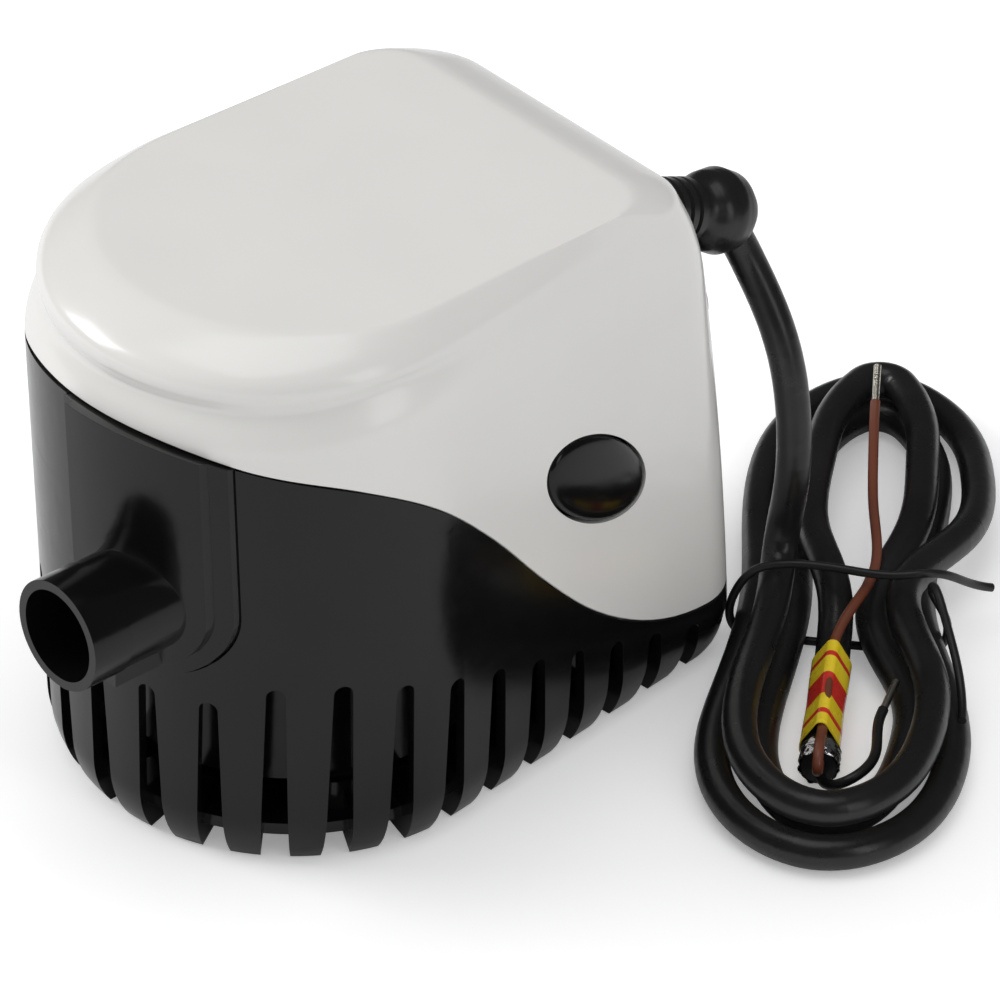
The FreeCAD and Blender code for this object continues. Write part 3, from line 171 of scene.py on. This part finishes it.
def add(tree, kind, **inputs):
    """A new node with some of its inputs set, or linked where the value is a socket."""
    node = tree.nodes.new(kind)
    for name, value in inputs.items():
        socket = node.inputs[name.replace("_", " ")]
        if isinstance(value, bpy.types.NodeSocket):
            tree.links.new(value, socket)
        else:
            socket.default_value = value
    return node


def noise(tree, scale, detail=3.0, roughness=0.5, stretch=None):
    """Noise in the object's own space; scale is features per metre."""
    place = tree.nodes.new("ShaderNodeTexCoord").outputs["Object"]
    if stretch:
        mapping = add(tree, "ShaderNodeMapping", Vector=place, Scale=stretch)
        place = mapping.outputs["Vector"]
    return add(tree, "ShaderNodeTexNoise", Vector=place, Scale=scale, Detail=detail,
               Roughness=roughness).outputs["Fac"]


def spread(tree, factor, low, high, start=0.3, end=0.7):
    """Maps a factor from start..end to low..high."""
    node = add(tree, "ShaderNodeMapRange", Value=factor)
    node.inputs["From Min"].default_value = start
    node.inputs["From Max"].default_value = end
    node.inputs["To Min"].default_value = low
    node.inputs["To Max"].default_value = high
    return node.outputs["Result"]


def blend_colours(tree, factor, first, second):
    node = tree.nodes.new("ShaderNodeMix")
    node.data_type = "RGBA"
    for socket, value in ((node.inputs[0], factor), (node.inputs[6], first), (node.inputs[7], second)):
        if isinstance(value, bpy.types.NodeSocket):
            tree.links.new(value, socket)
        else:
            socket.default_value = value
    return node.outputs[2]


def shade(colour, amount):
    return tuple(min(channel * amount, 1.0) for channel in colour[:3]) + (1.0,)


def finish_material(name, colour, roughness, variation=0.06, metallic=0.0, coat=0.0, grain=1800.0,
                    grain_depth=0.00002, scuffs=0.0, dust=0.0, stretch=None, sheen=0.0,
                    subsurface=0.0, specular=0.5):
    """A surface with uneven colour, uneven gloss, a fine grain, light scuffs and dust in corners."""
    material, tree, shader = nodes_of(name)
    cloudy = noise(tree, 45.0, 4.0)
    base = blend_colours(tree, spread(tree, cloudy, 0.0, 1.0),
                         shade(colour, 1 - variation), shade(colour, 1 + variation))
    if dust:
        hollow = add(tree, "ShaderNodeAmbientOcclusion", Distance=0.004)
        hollow.samples = 6
        settled = spread(tree, hollow.outputs["AO"], dust, 0.0, 0.25, 0.8)
        base = blend_colours(tree, settled, base, (0.30, 0.28, 0.25, 1.0))
    tree.links.new(base, shader.inputs["Base Color"])
    gloss = spread(tree, noise(tree, 260.0, 5.0), roughness * 0.85, roughness * 1.2)
    if scuffs:
        streaks = noise(tree, 120.0, 8.0, 0.65, stretch or (0.25, 1.0, 3.0))
        worn = spread(tree, streaks, 0.0, scuffs, 0.60, 0.72)
        total = tree.nodes.new("ShaderNodeMath")
        total.operation = "ADD"
        tree.links.new(gloss, total.inputs[0])
        tree.links.new(worn, total.inputs[1])
        gloss = total.outputs[0]
    tree.links.new(gloss, shader.inputs["Roughness"])
    fine = noise(tree, grain, 2.0, 0.5, stretch)
    bump = add(tree, "ShaderNodeBump", Height=fine, Distance=grain_depth, Strength=0.6)
    tree.links.new(bump.outputs["Normal"], shader.inputs["Normal"])
    shader.inputs["Metallic"].default_value = metallic
    shader.inputs["Specular IOR Level"].default_value = specular
    shader.inputs["Coat Weight"].default_value = coat
    shader.inputs["Coat Roughness"].default_value = roughness * 0.5
    shader.inputs["Sheen Weight"].default_value = sheen
    shader.inputs["Subsurface Weight"].default_value = subsurface
    shader.inputs["Subsurface Radius"].default_value = (0.003, 0.003, 0.0025)
    return material


MATERIALS = {
    "white_plastic": finish_material("white_plastic", (0.75, 0.742, 0.715), 0.22, 0.012, coat=0.3,
                                     grain=900.0, grain_depth=0.000012, scuffs=0.015),
    "black_plastic": finish_material("black_plastic", (0.0045, 0.0045, 0.0047), 0.16, 0.25, coat=0.0,
                                     grain=700.0, grain_depth=0.000012, scuffs=0.10, dust=0.05,
                                     specular=0.3),
    "grey_plastic": finish_material("grey_plastic", (0.05, 0.05, 0.055), 0.5, 0.12, dust=0.2),
    "rubber_seal": finish_material("rubber_seal", (0.014, 0.014, 0.014), 0.42, 0.2, grain=1500.0,
                                   grain_depth=0.00003, dust=0.12, sheen=0.1, specular=0.35),
    "plated_steel": finish_material("plated_steel", (0.55, 0.55, 0.53), 0.3, 0.1, metallic=1.0,
                                    stretch=(1.0, 1.0, 0.06), scuffs=0.1),
    "ferrite": finish_material("ferrite", (0.05, 0.05, 0.055), 0.7, 0.2),
    "bronze": finish_material("bronze", (0.55, 0.36, 0.16), 0.35, 0.12, metallic=1.0),
    "stainless": finish_material("stainless", (0.6, 0.6, 0.6), 0.22, 0.08, metallic=1.0,
                                 stretch=(1.0, 1.0, 0.1), scuffs=0.1),
    "lamination": finish_material("lamination", (0.33, 0.33, 0.35), 0.38, 0.1, metallic=1.0,
                                  stretch=(0.05, 0.05, 1.0), grain_depth=0.0001),
    "copper": finish_material("copper", (0.62, 0.25, 0.11), 0.28, 0.2, metallic=1.0, grain=2600.0,
                              grain_depth=0.0001, stretch=(1.0, 1.0, 0.1)),
    "carbon": finish_material("carbon", (0.03, 0.03, 0.034), 0.6, 0.25),
    "float_foam": finish_material("float_foam", (0.78, 0.76, 0.68), 0.7, 0.05, grain=1400.0,
                                  grain_depth=0.00015, dust=0.2),
    "reed_glass": finish_material("reed_glass", (0.55, 0.68, 0.62), 0.08, 0.05),
    "circuit_board": finish_material("circuit_board", (0.02, 0.16, 0.06), 0.35, 0.15),
    "cable_rubber": finish_material("cable_rubber", (0.010, 0.010, 0.0105), 0.30, 0.3, grain=1100.0,
                                    grain_depth=0.00004, scuffs=0.14, dust=0.08),
    "brown_wire": finish_material("brown_wire", (0.16, 0.045, 0.022), 0.34, 0.12, scuffs=0.1),
    "black_wire": finish_material("black_wire", (0.012, 0.012, 0.012), 0.34, 0.2),
    "tinned_copper": finish_material("tinned_copper", (0.66, 0.62, 0.54), 0.28, 0.25, metallic=1.0,
                                     grain=2400.0, grain_depth=0.0002),
    "yellow_tag": finish_material("yellow_tag", (0.82, 0.62, 0.02), 0.22, 0.05, coat=0.4),
    "foil": finish_material("foil", (0.75, 0.75, 0.76), 0.16, 0.2, metallic=1.0, grain=420.0,
                            grain_depth=0.0009),
    "tie_plastic": finish_material("tie_plastic", (0.012, 0.012, 0.012), 0.4, 0.2),
}


# ---------------------------------------------------------------- carried-over CAD parts

def dress_cad_parts():
    """Gives every CAD node the material named by its slot."""
    slot_of = {part["node"]: part["material_slot"] for part in frame["record"]["subparts"]}
    for name, thing in frame["nodes"].items():
        thing.data.materials.clear()
        thing.data.materials.append(MATERIALS[slot_of[name]])


dress_cad_parts()


# ---------------------------------------------------------------- shell outline

ARC_STEPS = 40
SIDE_STEPS = 22
CORNER_STEPS = 14
REAR_STEPS = 12


def half_outline(radius, centre, angle, rear, corner):
    """Points round the right half of the shell, from the middle of the front to the middle of the rear."""
    corner_y = rear - corner
    corner_x = (radius - corner - (corner_y - centre) * math.sin(angle)) / math.cos(angle)
    side = (radius * math.cos(angle), centre + radius * math.sin(angle))
    turn = (corner_x + corner * math.cos(angle), corner_y + corner * math.sin(angle))
    points = []
    for step in range(ARC_STEPS):
        swing = -math.pi / 2 + (math.pi / 2 + angle) * step / ARC_STEPS
        points.append((radius * math.cos(swing), centre + radius * math.sin(swing)))
    for step in range(SIDE_STEPS):
        share = step / SIDE_STEPS
        points.append((side[0] + (turn[0] - side[0]) * share, side[1] + (turn[1] - side[1]) * share))
    for step in range(CORNER_STEPS):
        swing = angle + (math.pi / 2 - angle) * step / CORNER_STEPS
        points.append((corner_x + corner * math.cos(swing), corner_y + corner * math.sin(swing)))
    for step in range(REAR_STEPS + 1):
        points.append((corner_x * (1 - step / REAR_STEPS), rear))
    return points


def wall_outline(level, inset):
    """The shell wall at one height, drawn in by an inset."""
    return half_outline(WALL_RADIUS - inset, -WALL_LEAN * level, SIDE_ANGLE,
                        REAR_FACE - REAR_SLOPE * level - REAR_CURVE * level ** 2 - inset,
                        max(CORNER_RADIUS - inset, 2.0))


def seam_height(y):
    """Height of the wavy line where the white cover meets the black base."""
    drops = [(-70, 0.0), (-48, 0.0), (-35, 0.058), (-20, 0.125), (-5, 0.24), (9.5, 0.42),
             (22.7, 0.62), (36, 0.797), (49.4, 0.92), (62, 0.985), (75, 1.0), (100, 1.0)]
    return SEAM_FRONT + (SEAM_REAR - SEAM_FRONT) * through(drops, y)


def full_loop(half):
    return half + [(-x, y, z) for x, y, z in reversed(half[1:-1])]


# ---------------------------------------------------------------- top cover

CREASED = [(86.0, 0.0), (88.5, 0.15), (90.5, 0.7), (92.5, 1.6), (94.3, 2.6), (95.4, 3.15),
           (96.2, 3.3), (97.0, 3.1), (98.2, 2.7), (99.5, 2.6), (100.5, 2.75)]
PLAIN = [(86.0, 0.0), (90.0, 0.25), (95.0, 1.0), (100.5, 2.6)]
SLOPE = [(0.0, 0.0), (0.05, 0.16), (0.16, 0.34), (0.36, 0.55), (0.62, 0.76), (0.84, 0.915),
         (0.96, 0.975), (1.0, 0.99)]
CREASE_ROWS = 26
WALL_ROWS = 26
SLOPE_ROWS = 18
DECK_RINGS = (0.985, 0.96, 0.9, 0.78, 0.6, 0.4, 0.2)


def skirt_inset(level, y):
    """The crease runs round the front and fades out along the sides."""
    fade = smoothstep(y, -16.0, 12.0)
    lifted = level - 3.2 * smoothstep(y, -38.0, -4.0)
    return through(CREASED, lifted) * (1 - fade) + through(PLAIN, level) * fade


def cover_column(index, last):
    """Points up one column of the cover, from the seam to the edge of the deck."""
    points = []

    def place(level, extra=0.0):
        inset = 0.0
        for _ in range(3):
            x, y = wall_outline(level, inset)[index]
            inset = skirt_inset(level, y)
        x, y = wall_outline(level, inset + extra)[index]
        return (0.0 if index in (0, last) else x, y, level)

    seam = SEAM_FRONT
    for _ in range(8):
        seam = seam_height(place(seam)[1])
    shoulder = max(86.0, seam + 0.9)
    points.append(place(seam, 0.3))
    for step in range(WALL_ROWS):
        points.append(place(seam + 0.3 + (shoulder - seam - 0.3) * step / WALL_ROWS))
    for step in range(CREASE_ROWS + 1):
        points.append(place(shoulder + (RIM_HEIGHT - shoulder) * step / CREASE_ROWS))
    rim = points[-1]
    deck = half_outline(DECK_RADIUS, 0.0, math.radians(1.0), DECK_REAR, DECK_CORNER)[index]
    for step in range(1, SLOPE_ROWS + 1):
        share = step / SLOPE_ROWS
        lift = through(SLOPE, share)
        x = rim[0] + (deck[0] - rim[0]) * share
        y = rim[1] + (deck[1] - rim[1]) * share
        points.append((0.0 if index in (0, last) else x, y, RIM_HEIGHT + (DECK_LEVEL - RIM_HEIGHT) * lift))
    return points


DECK_CROWN = 0.15
DECK_LEVEL = TOTAL_HEIGHT - DECK_CROWN
DECK_CENTRE_Y = 8.0


def oval_outline(length, width, count=80):
    """The tilted oval of the release button, as (y, z) points."""
    points = []
    for step in range(count):
        swing = 2 * math.pi * step / count
        along, aside = length / 2 * math.cos(swing), width / 2 * math.sin(swing)
        points.append((BUTTON_Y - along * math.cos(BUTTON_TILT) + aside * math.sin(BUTTON_TILT),
                       BUTTON_HEIGHT + along * math.sin(BUTTON_TILT) + aside * math.cos(BUTTON_TILT)))
    return points


def prism(name, outline, start, end, material):
    """A closed prism between two lists of points."""
    count = len(outline)
    points = [start(point) for point in outline] + [end(point) for point in outline]
    faces = [tuple(reversed(range(count))), tuple(range(count, 2 * count))]
    faces += [(i, (i + 1) % count, count + (i + 1) % count, count + i) for i in range(count)]
    return new_object(name, points, faces, material)


def cut_away(thing, cutter):
    """Cuts one mesh out of another and discards the cutter."""
    carve = thing.modifiers.new("carve", "BOOLEAN")
    carve.operation = "DIFFERENCE"
    carve.solver = "EXACT"
    carve.object = cutter
    settle(thing)
    bpy.data.objects.remove(cutter)


def make_release_button(side, sign):
    """A domed oval button with a rounded rim and a skirt that runs back inside the cover."""
    wall_x = ((WALL_RADIUS - (BUTTON_Y + WALL_LEAN * BUTTON_HEIGHT) * math.sin(SIDE_ANGLE))
              / math.cos(SIDE_ANGLE))
    slant = math.tan(SIDE_ANGLE)
    outline = oval_outline(BUTTON_LENGTH, BUTTON_WIDTH, 96)
    rings = []
    for height, share in BUTTON_PROFILE:
        ring = []
        for y, z in outline:
            near_y = BUTTON_Y + (y - BUTTON_Y) * share
            near_z = BUTTON_HEIGHT + (z - BUTTON_HEIGHT) * share
            lean = -slant * (near_y - BUTTON_Y) if height > BUTTON_SKIRT_TOP else 0.0
            ring.append((sign * (wall_x + height + lean), near_y, near_z))
        rings.append(ring)
    button = sweep(f"button_{side}", rings, MATERIALS["black_plastic"])
    round_shading(button, 50)
    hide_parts(f"release_button_{side}")
    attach(button, f"{side}_button")


def circle_points(count=56):
    return [(math.cos(2 * math.pi * step / count), math.sin(2 * math.pi * step / count))
            for step in range(count)]


def boot_circle(point, distance):
    """A point of the drooping round hole for the cable boot, this far along its axis."""
    across, upward = point[0] * BOOT_NECK_RADIUS, point[1] * BOOT_NECK_RADIUS
    return (BOOT_X + across,
            BOOT_Y + distance * math.cos(BOOT_DROOP) + upward * math.sin(BOOT_DROOP),
            BOOT_HEIGHT - distance * math.sin(BOOT_DROOP) + upward * math.cos(BOOT_DROOP))


def make_cover():
    """The white cover: a skin over its outline with both windows, the test hole and the boot hole."""
    white = MATERIALS["white_plastic"]
    last = ARC_STEPS + SIDE_STEPS + CORNER_STEPS + REAR_STEPS
    columns = [cover_column(index, last) for index in range(last + 1)]
    rows = [full_loop([column[level] for column in columns]) for level in range(len(columns[0]))]
    deck_edge = rows[-1]
    for share in DECK_RINGS:
        crown = DECK_CROWN * (1 - share ** 2)
        rows.append([(x * share, DECK_CENTRE_Y + (y - DECK_CENTRE_Y) * share, DECK_LEVEL + crown)
                     for x, y, z in deck_edge])
    points = [point for row in rows for point in row]
    around = len(rows[0])
    faces = []
    for level in range(len(rows) - 1):
        for step in range(around):
            after = (step + 1) % around
            faces.append((level * around + step, level * around + after,
                          (level + 1) * around + after, (level + 1) * around + step))
    centre = len(points)
    points.append((0.0, DECK_CENTRE_Y, TOTAL_HEIGHT))
    top = (len(rows) - 1) * around
    faces += [(top + step, top + (step + 1) % around, centre) for step in range(around)]
    cover = new_object("cover_shell", points, faces, white)
    skin = cover.modifiers.new("skin", "SOLIDIFY")
    skin.thickness = WALL * MM
    skin.offset = -1.0
    skin.use_even_offset = False
    settle(cover)
    window = oval_outline(BUTTON_LENGTH + 2 * WINDOW_GAP, BUTTON_WIDTH + 2 * WINDOW_GAP)
    near, far = SIDE_CUT
    for side, inner, outer in (("right", near, far), ("left", -far, -near)):
        cut_away(cover, prism(f"window_{side}", window, lambda p, x=inner: (x, p[0], p[1]),
                              lambda p, x=outer: (x, p[0], p[1]), white))
    knob_low, knob_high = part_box("test_button")
    knob = (knob_low + knob_high) / 2 / MM
    reach = (knob_high.x - knob_low.x) / 2 / MM - 1.2
    cut_away(cover, prism("test_hole", circle_points(),
                          lambda p: (knob.x + p[0] * reach, REAR_CUT[0], knob.z + p[1] * reach),
                          lambda p: (knob.x + p[0] * reach, REAR_CUT[1], knob.z + p[1] * reach), white))
    cut_away(cover, prism("boot_hole", circle_points(), lambda p: boot_circle(p, BOOT_CUT[0]),
                          lambda p: boot_circle(p, BOOT_CUT[1]), white))
    round_shading(cover, 38)
    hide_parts("top_cover")
    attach(cover, "pump")


make_cover()
make_release_button("right", 1)
make_release_button("left", -1)


# ---------------------------------------------------------------- rounded corners on CAD parts

def soften_corners(name, width, degrees=40):
    """Joins the faces of a CAD mesh and rounds its sharp edges."""
    thing = frame["nodes"][name]
    if "custom_normal" in thing.data.attributes:
        thing.data.attributes.remove(thing.data.attributes["custom_normal"])
    thing.data.polygons.foreach_set("use_smooth", [True] * len(thing.data.polygons))
    weld = thing.modifiers.new("join", "WELD")
    weld.merge_threshold = 0.01 * MM
    rounding = thing.modifiers.new("round", "BEVEL")
    rounding.width = width * MM
    rounding.segments = 2
    rounding.limit_method = "ANGLE"
    rounding.angle_limit = math.radians(degrees)
    rounding.harden_normals = True


for corner_name, corner_width in (("strainer_base", 0.35), ("pump_housing", 0.3),
                                  ("test_button", 0.4), ("strain_relief", 0.25)):
    soften_corners(corner_name, corner_width)


# ---------------------------------------------------------------- cable end: tag and foil

COIL_TURN = math.radians(49.0)
ALONG = Vector((math.cos(COIL_TURN), -math.sin(COIL_TURN), 0.0))
ASIDE = Vector((math.sin(COIL_TURN), math.cos(COIL_TURN), 0.0))
UP = Vector((0.0, 0.0, 1.0))


def box_centre(name):
    """The middle of a CAD node in millimetres."""
    low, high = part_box(name)
    return (low + high) / 2 / MM


def make_tag():
    """A shrunk sleeve that hugs the cable and the lead folded back along it."""
    centre = box_centre("cable_tag")
    cable_radius, lead_radius, lead_lift = 3.55, 1.3, 4.4
    length = 25.0
    material, tree, shader = nodes_of("banded_tag")
    place = tree.nodes.new("ShaderNodeTexCoord").outputs["Object"]
    along = tree.nodes.new("ShaderNodeVectorMath")
    along.operation = "DOT_PRODUCT"
    tree.links.new(place, along.inputs[0])
    along.inputs[1].default_value = ALONG
    middle = centre.dot(ALONG) * MM
    yellow = blend_colours(tree, spread(tree, noise(tree, 160.0, 4.0), 0.0, 1.0),
                           (0.80, 0.58, 0.015, 1.0), (0.90, 0.70, 0.03, 1.0))
    colour = yellow
    for band_centre, band_width in ((0.0, 3.2), (-8.6, 0.7), (8.6, 0.7)):
        offset = add(tree, "ShaderNodeMath")
        offset.operation = "SUBTRACT"
        tree.links.new(along.outputs["Value"], offset.inputs[0])
        offset.inputs[1].default_value = middle + band_centre * MM
        distance = add(tree, "ShaderNodeMath")
        distance.operation = "ABSOLUTE"
        tree.links.new(offset.outputs[0], distance.inputs[0])
        edge = band_width * MM
        inside = spread(tree, distance.outputs[0], 1.0, 0.0, edge - 0.00006, edge + 0.00006)
        colour = blend_colours(tree, inside, colour, (0.62, 0.03, 0.02, 1.0))
    tree.links.new(colour, shader.inputs["Base Color"])
    tree.links.new(spread(tree, noise(tree, 300.0, 4.0), 0.18, 0.34), shader.inputs["Roughness"])
    creases = noise(tree, 260.0, 3.0, 0.5, (1.0, 1.0, 0.4))
    bump = add(tree, "ShaderNodeBump", Height=creases, Distance=0.0002, Strength=0.5)
    tree.links.new(bump.outputs["Normal"], shader.inputs["Normal"])
    shader.inputs["Coat Weight"].default_value = 0.5

    tangent = math.asin((cable_radius - lead_radius) / lead_lift)
    section = []
    for step in range(33):
        swing = math.pi - tangent + (math.pi + 2 * tangent) * step / 32
        section.append((cable_radius * math.cos(swing), cable_radius * math.sin(swing)))
    for step in range(13):
        swing = tangent + (math.pi - 2 * tangent) * step / 12
        section.append((lead_radius * math.cos(swing), lead_lift + lead_radius * math.sin(swing)))
    rings = []
    for step in range(41):
        share = step / 40
        squeeze = 1.0 + 0.025 * math.sin(9.0 * share) + 0.03 * smoothstep(abs(share - 0.5), 0.42, 0.5)
        rings.append([centre + ALONG * (share - 0.5) * length + (ASIDE * x + UP * y) * squeeze
                      for x, y in section])
    tag = sweep("tag_sleeve", rings, material, closed=False)
    skin = tag.modifiers.new("skin", "SOLIDIFY")
    skin.thickness = 0.22 * MM
    settle(tag)
    round_shading(tag, 50)
    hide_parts("cable_tag")
    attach(tag, "pump")


def make_foil():
    """The crinkled screen folded back over the end of the jacket."""
    centre = box_centre("end_sleeve")
    rings = []
    for step in range(23):
        share = step / 22
        ring = []
        for turn in range(64):
            angle = 2 * math.pi * turn / 64
            crinkle = (0.10 * math.sin(7 * angle + 9 * share) + 0.08 * math.sin(13 * angle - 17 * share)
                       + 0.06 * math.sin(5 * angle + 31 * share))
            reach = 3.62 + crinkle * (0.6 + 0.8 * share)
            ring.append(centre + ALONG * ((share - 0.5) * 4.6 + 0.5 * crinkle)
                        + (ASIDE * math.cos(angle) + UP * math.sin(angle)) * reach)
        rings.append(ring)
    foil = sweep("foil_screen", rings, MATERIALS["foil"], closed=False)
    skin = foil.modifiers.new("skin", "SOLIDIFY")
    skin.thickness = 0.12 * MM
    settle(foil)
    round_shading(foil, 60)
    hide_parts("end_sleeve")
    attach(foil, "pump")


make_tag()
make_foil()


# ---------------------------------------------------------------- floor, light and camera

def make_floor():
    material, tree, shader = nodes_of("pale_floor")
    soft = noise(tree, 3.0, 2.0)
    tree.links.new(blend_colours(tree, spread(tree, soft, 0.0, 1.0),
                                 (0.93, 0.93, 0.93, 1.0), (0.95, 0.95, 0.95, 1.0)),
                   shader.inputs["Base Color"])
    shader.inputs["Roughness"].default_value = 0.6
    shader.inputs["Specular IOR Level"].default_value = 0.2
    path = tree.nodes.new("ShaderNodeLightPath")
    lift = add(tree, "ShaderNodeMath")
    lift.operation = "MULTIPLY"
    tree.links.new(path.outputs["Is Camera Ray"], lift.inputs[0])
    lift.inputs[1].default_value = 0.26
    shader.inputs["Emission Color"].default_value = (1.0, 1.0, 1.0, 1.0)
    tree.links.new(lift.outputs[0], shader.inputs["Emission Strength"])
    reach = 6000.0
    floor = new_object("floor", [(-reach, -reach, -0.2), (reach, -reach, -0.2),
                                 (reach, reach, -0.2), (-reach, reach, -0.2)],
                       [(0, 1, 2, 3)], material)


def soft_light(name, place, aim, width, power, height=None):
    data = bpy.data.lights.new(name, "AREA")
    data.shape = "RECTANGLE"
    data.size = width
    data.size_y = height or width
    data.energy = power
    light = bpy.data.objects.new(name, data)
    light.location = place
    light.rotation_euler = (Vector(aim) - Vector(place)).to_track_quat("-Z", "Y").to_euler()
    bpy.context.scene.collection.objects.link(light)


def make_world():
    """White where the camera sees it, a softer grey where it lights and mirrors."""
    world = bpy.data.worlds.new("studio")
    bpy.context.scene.world = world
    world.use_nodes = True
    tree = world.node_tree
    background = next(node for node in tree.nodes if node.type == "BACKGROUND")
    path = tree.nodes.new("ShaderNodeLightPath")
    shade_up = blend_colours(tree, path.outputs["Is Glossy Ray"], (0.62, 0.62, 0.63, 1.0),
                             (0.055, 0.055, 0.057, 1.0))
    seen = blend_colours(tree, path.outputs["Is Camera Ray"], shade_up, (1.0, 1.0, 1.0, 1.0))
    tree.links.new(seen, background.inputs["Color"])


def make_camera():
    azimuth, elevation, roll = math.radians(46.94), math.radians(35.205), math.radians(1.96)
    distance, target = 1.27916, Vector((0.0288, 0.02197, 0.05385))
    back = Vector((math.sin(azimuth) * math.cos(elevation), -math.cos(azimuth) * math.cos(elevation),
                   math.sin(elevation)))
    right = Vector((math.cos(azimuth), math.sin(azimuth), 0.0))
    up = back.cross(right)
    across = right * math.cos(roll) + up * math.sin(roll)
    upward = up * math.cos(roll) - right * math.sin(roll)
    data = bpy.data.cameras.new("camera")
    data.sensor_width = 36.0
    data.lens = 264.5
    data.shift_x = 0.0024
    data.shift_y = 0.0005
    data.clip_start, data.clip_end = 0.05, 50.0
    camera = bpy.data.objects.new("camera", data)
    camera.matrix_world = Matrix.Translation(target + back * distance) @ Matrix(
        (across, upward, back)).transposed().to_4x4()
    bpy.context.scene.collection.objects.link(camera)
    bpy.context.scene.camera = camera


make_floor()
make_world()
soft_light("key", (-1.0, -0.85, 0.85), (0.03, 0.02, 0.05), 0.7, 9.5)
soft_light("overhead", (0.0, -0.1, 1.4), (0.03, 0.02, 0.05), 0.9, 3.2)
soft_light("side", (1.2, 0.1, 0.6), (0.03, 0.02, 0.05), 0.4, 1.8, 0.9)
make_camera()
bpy.context.scene.view_settings.view_transform = "Standard"
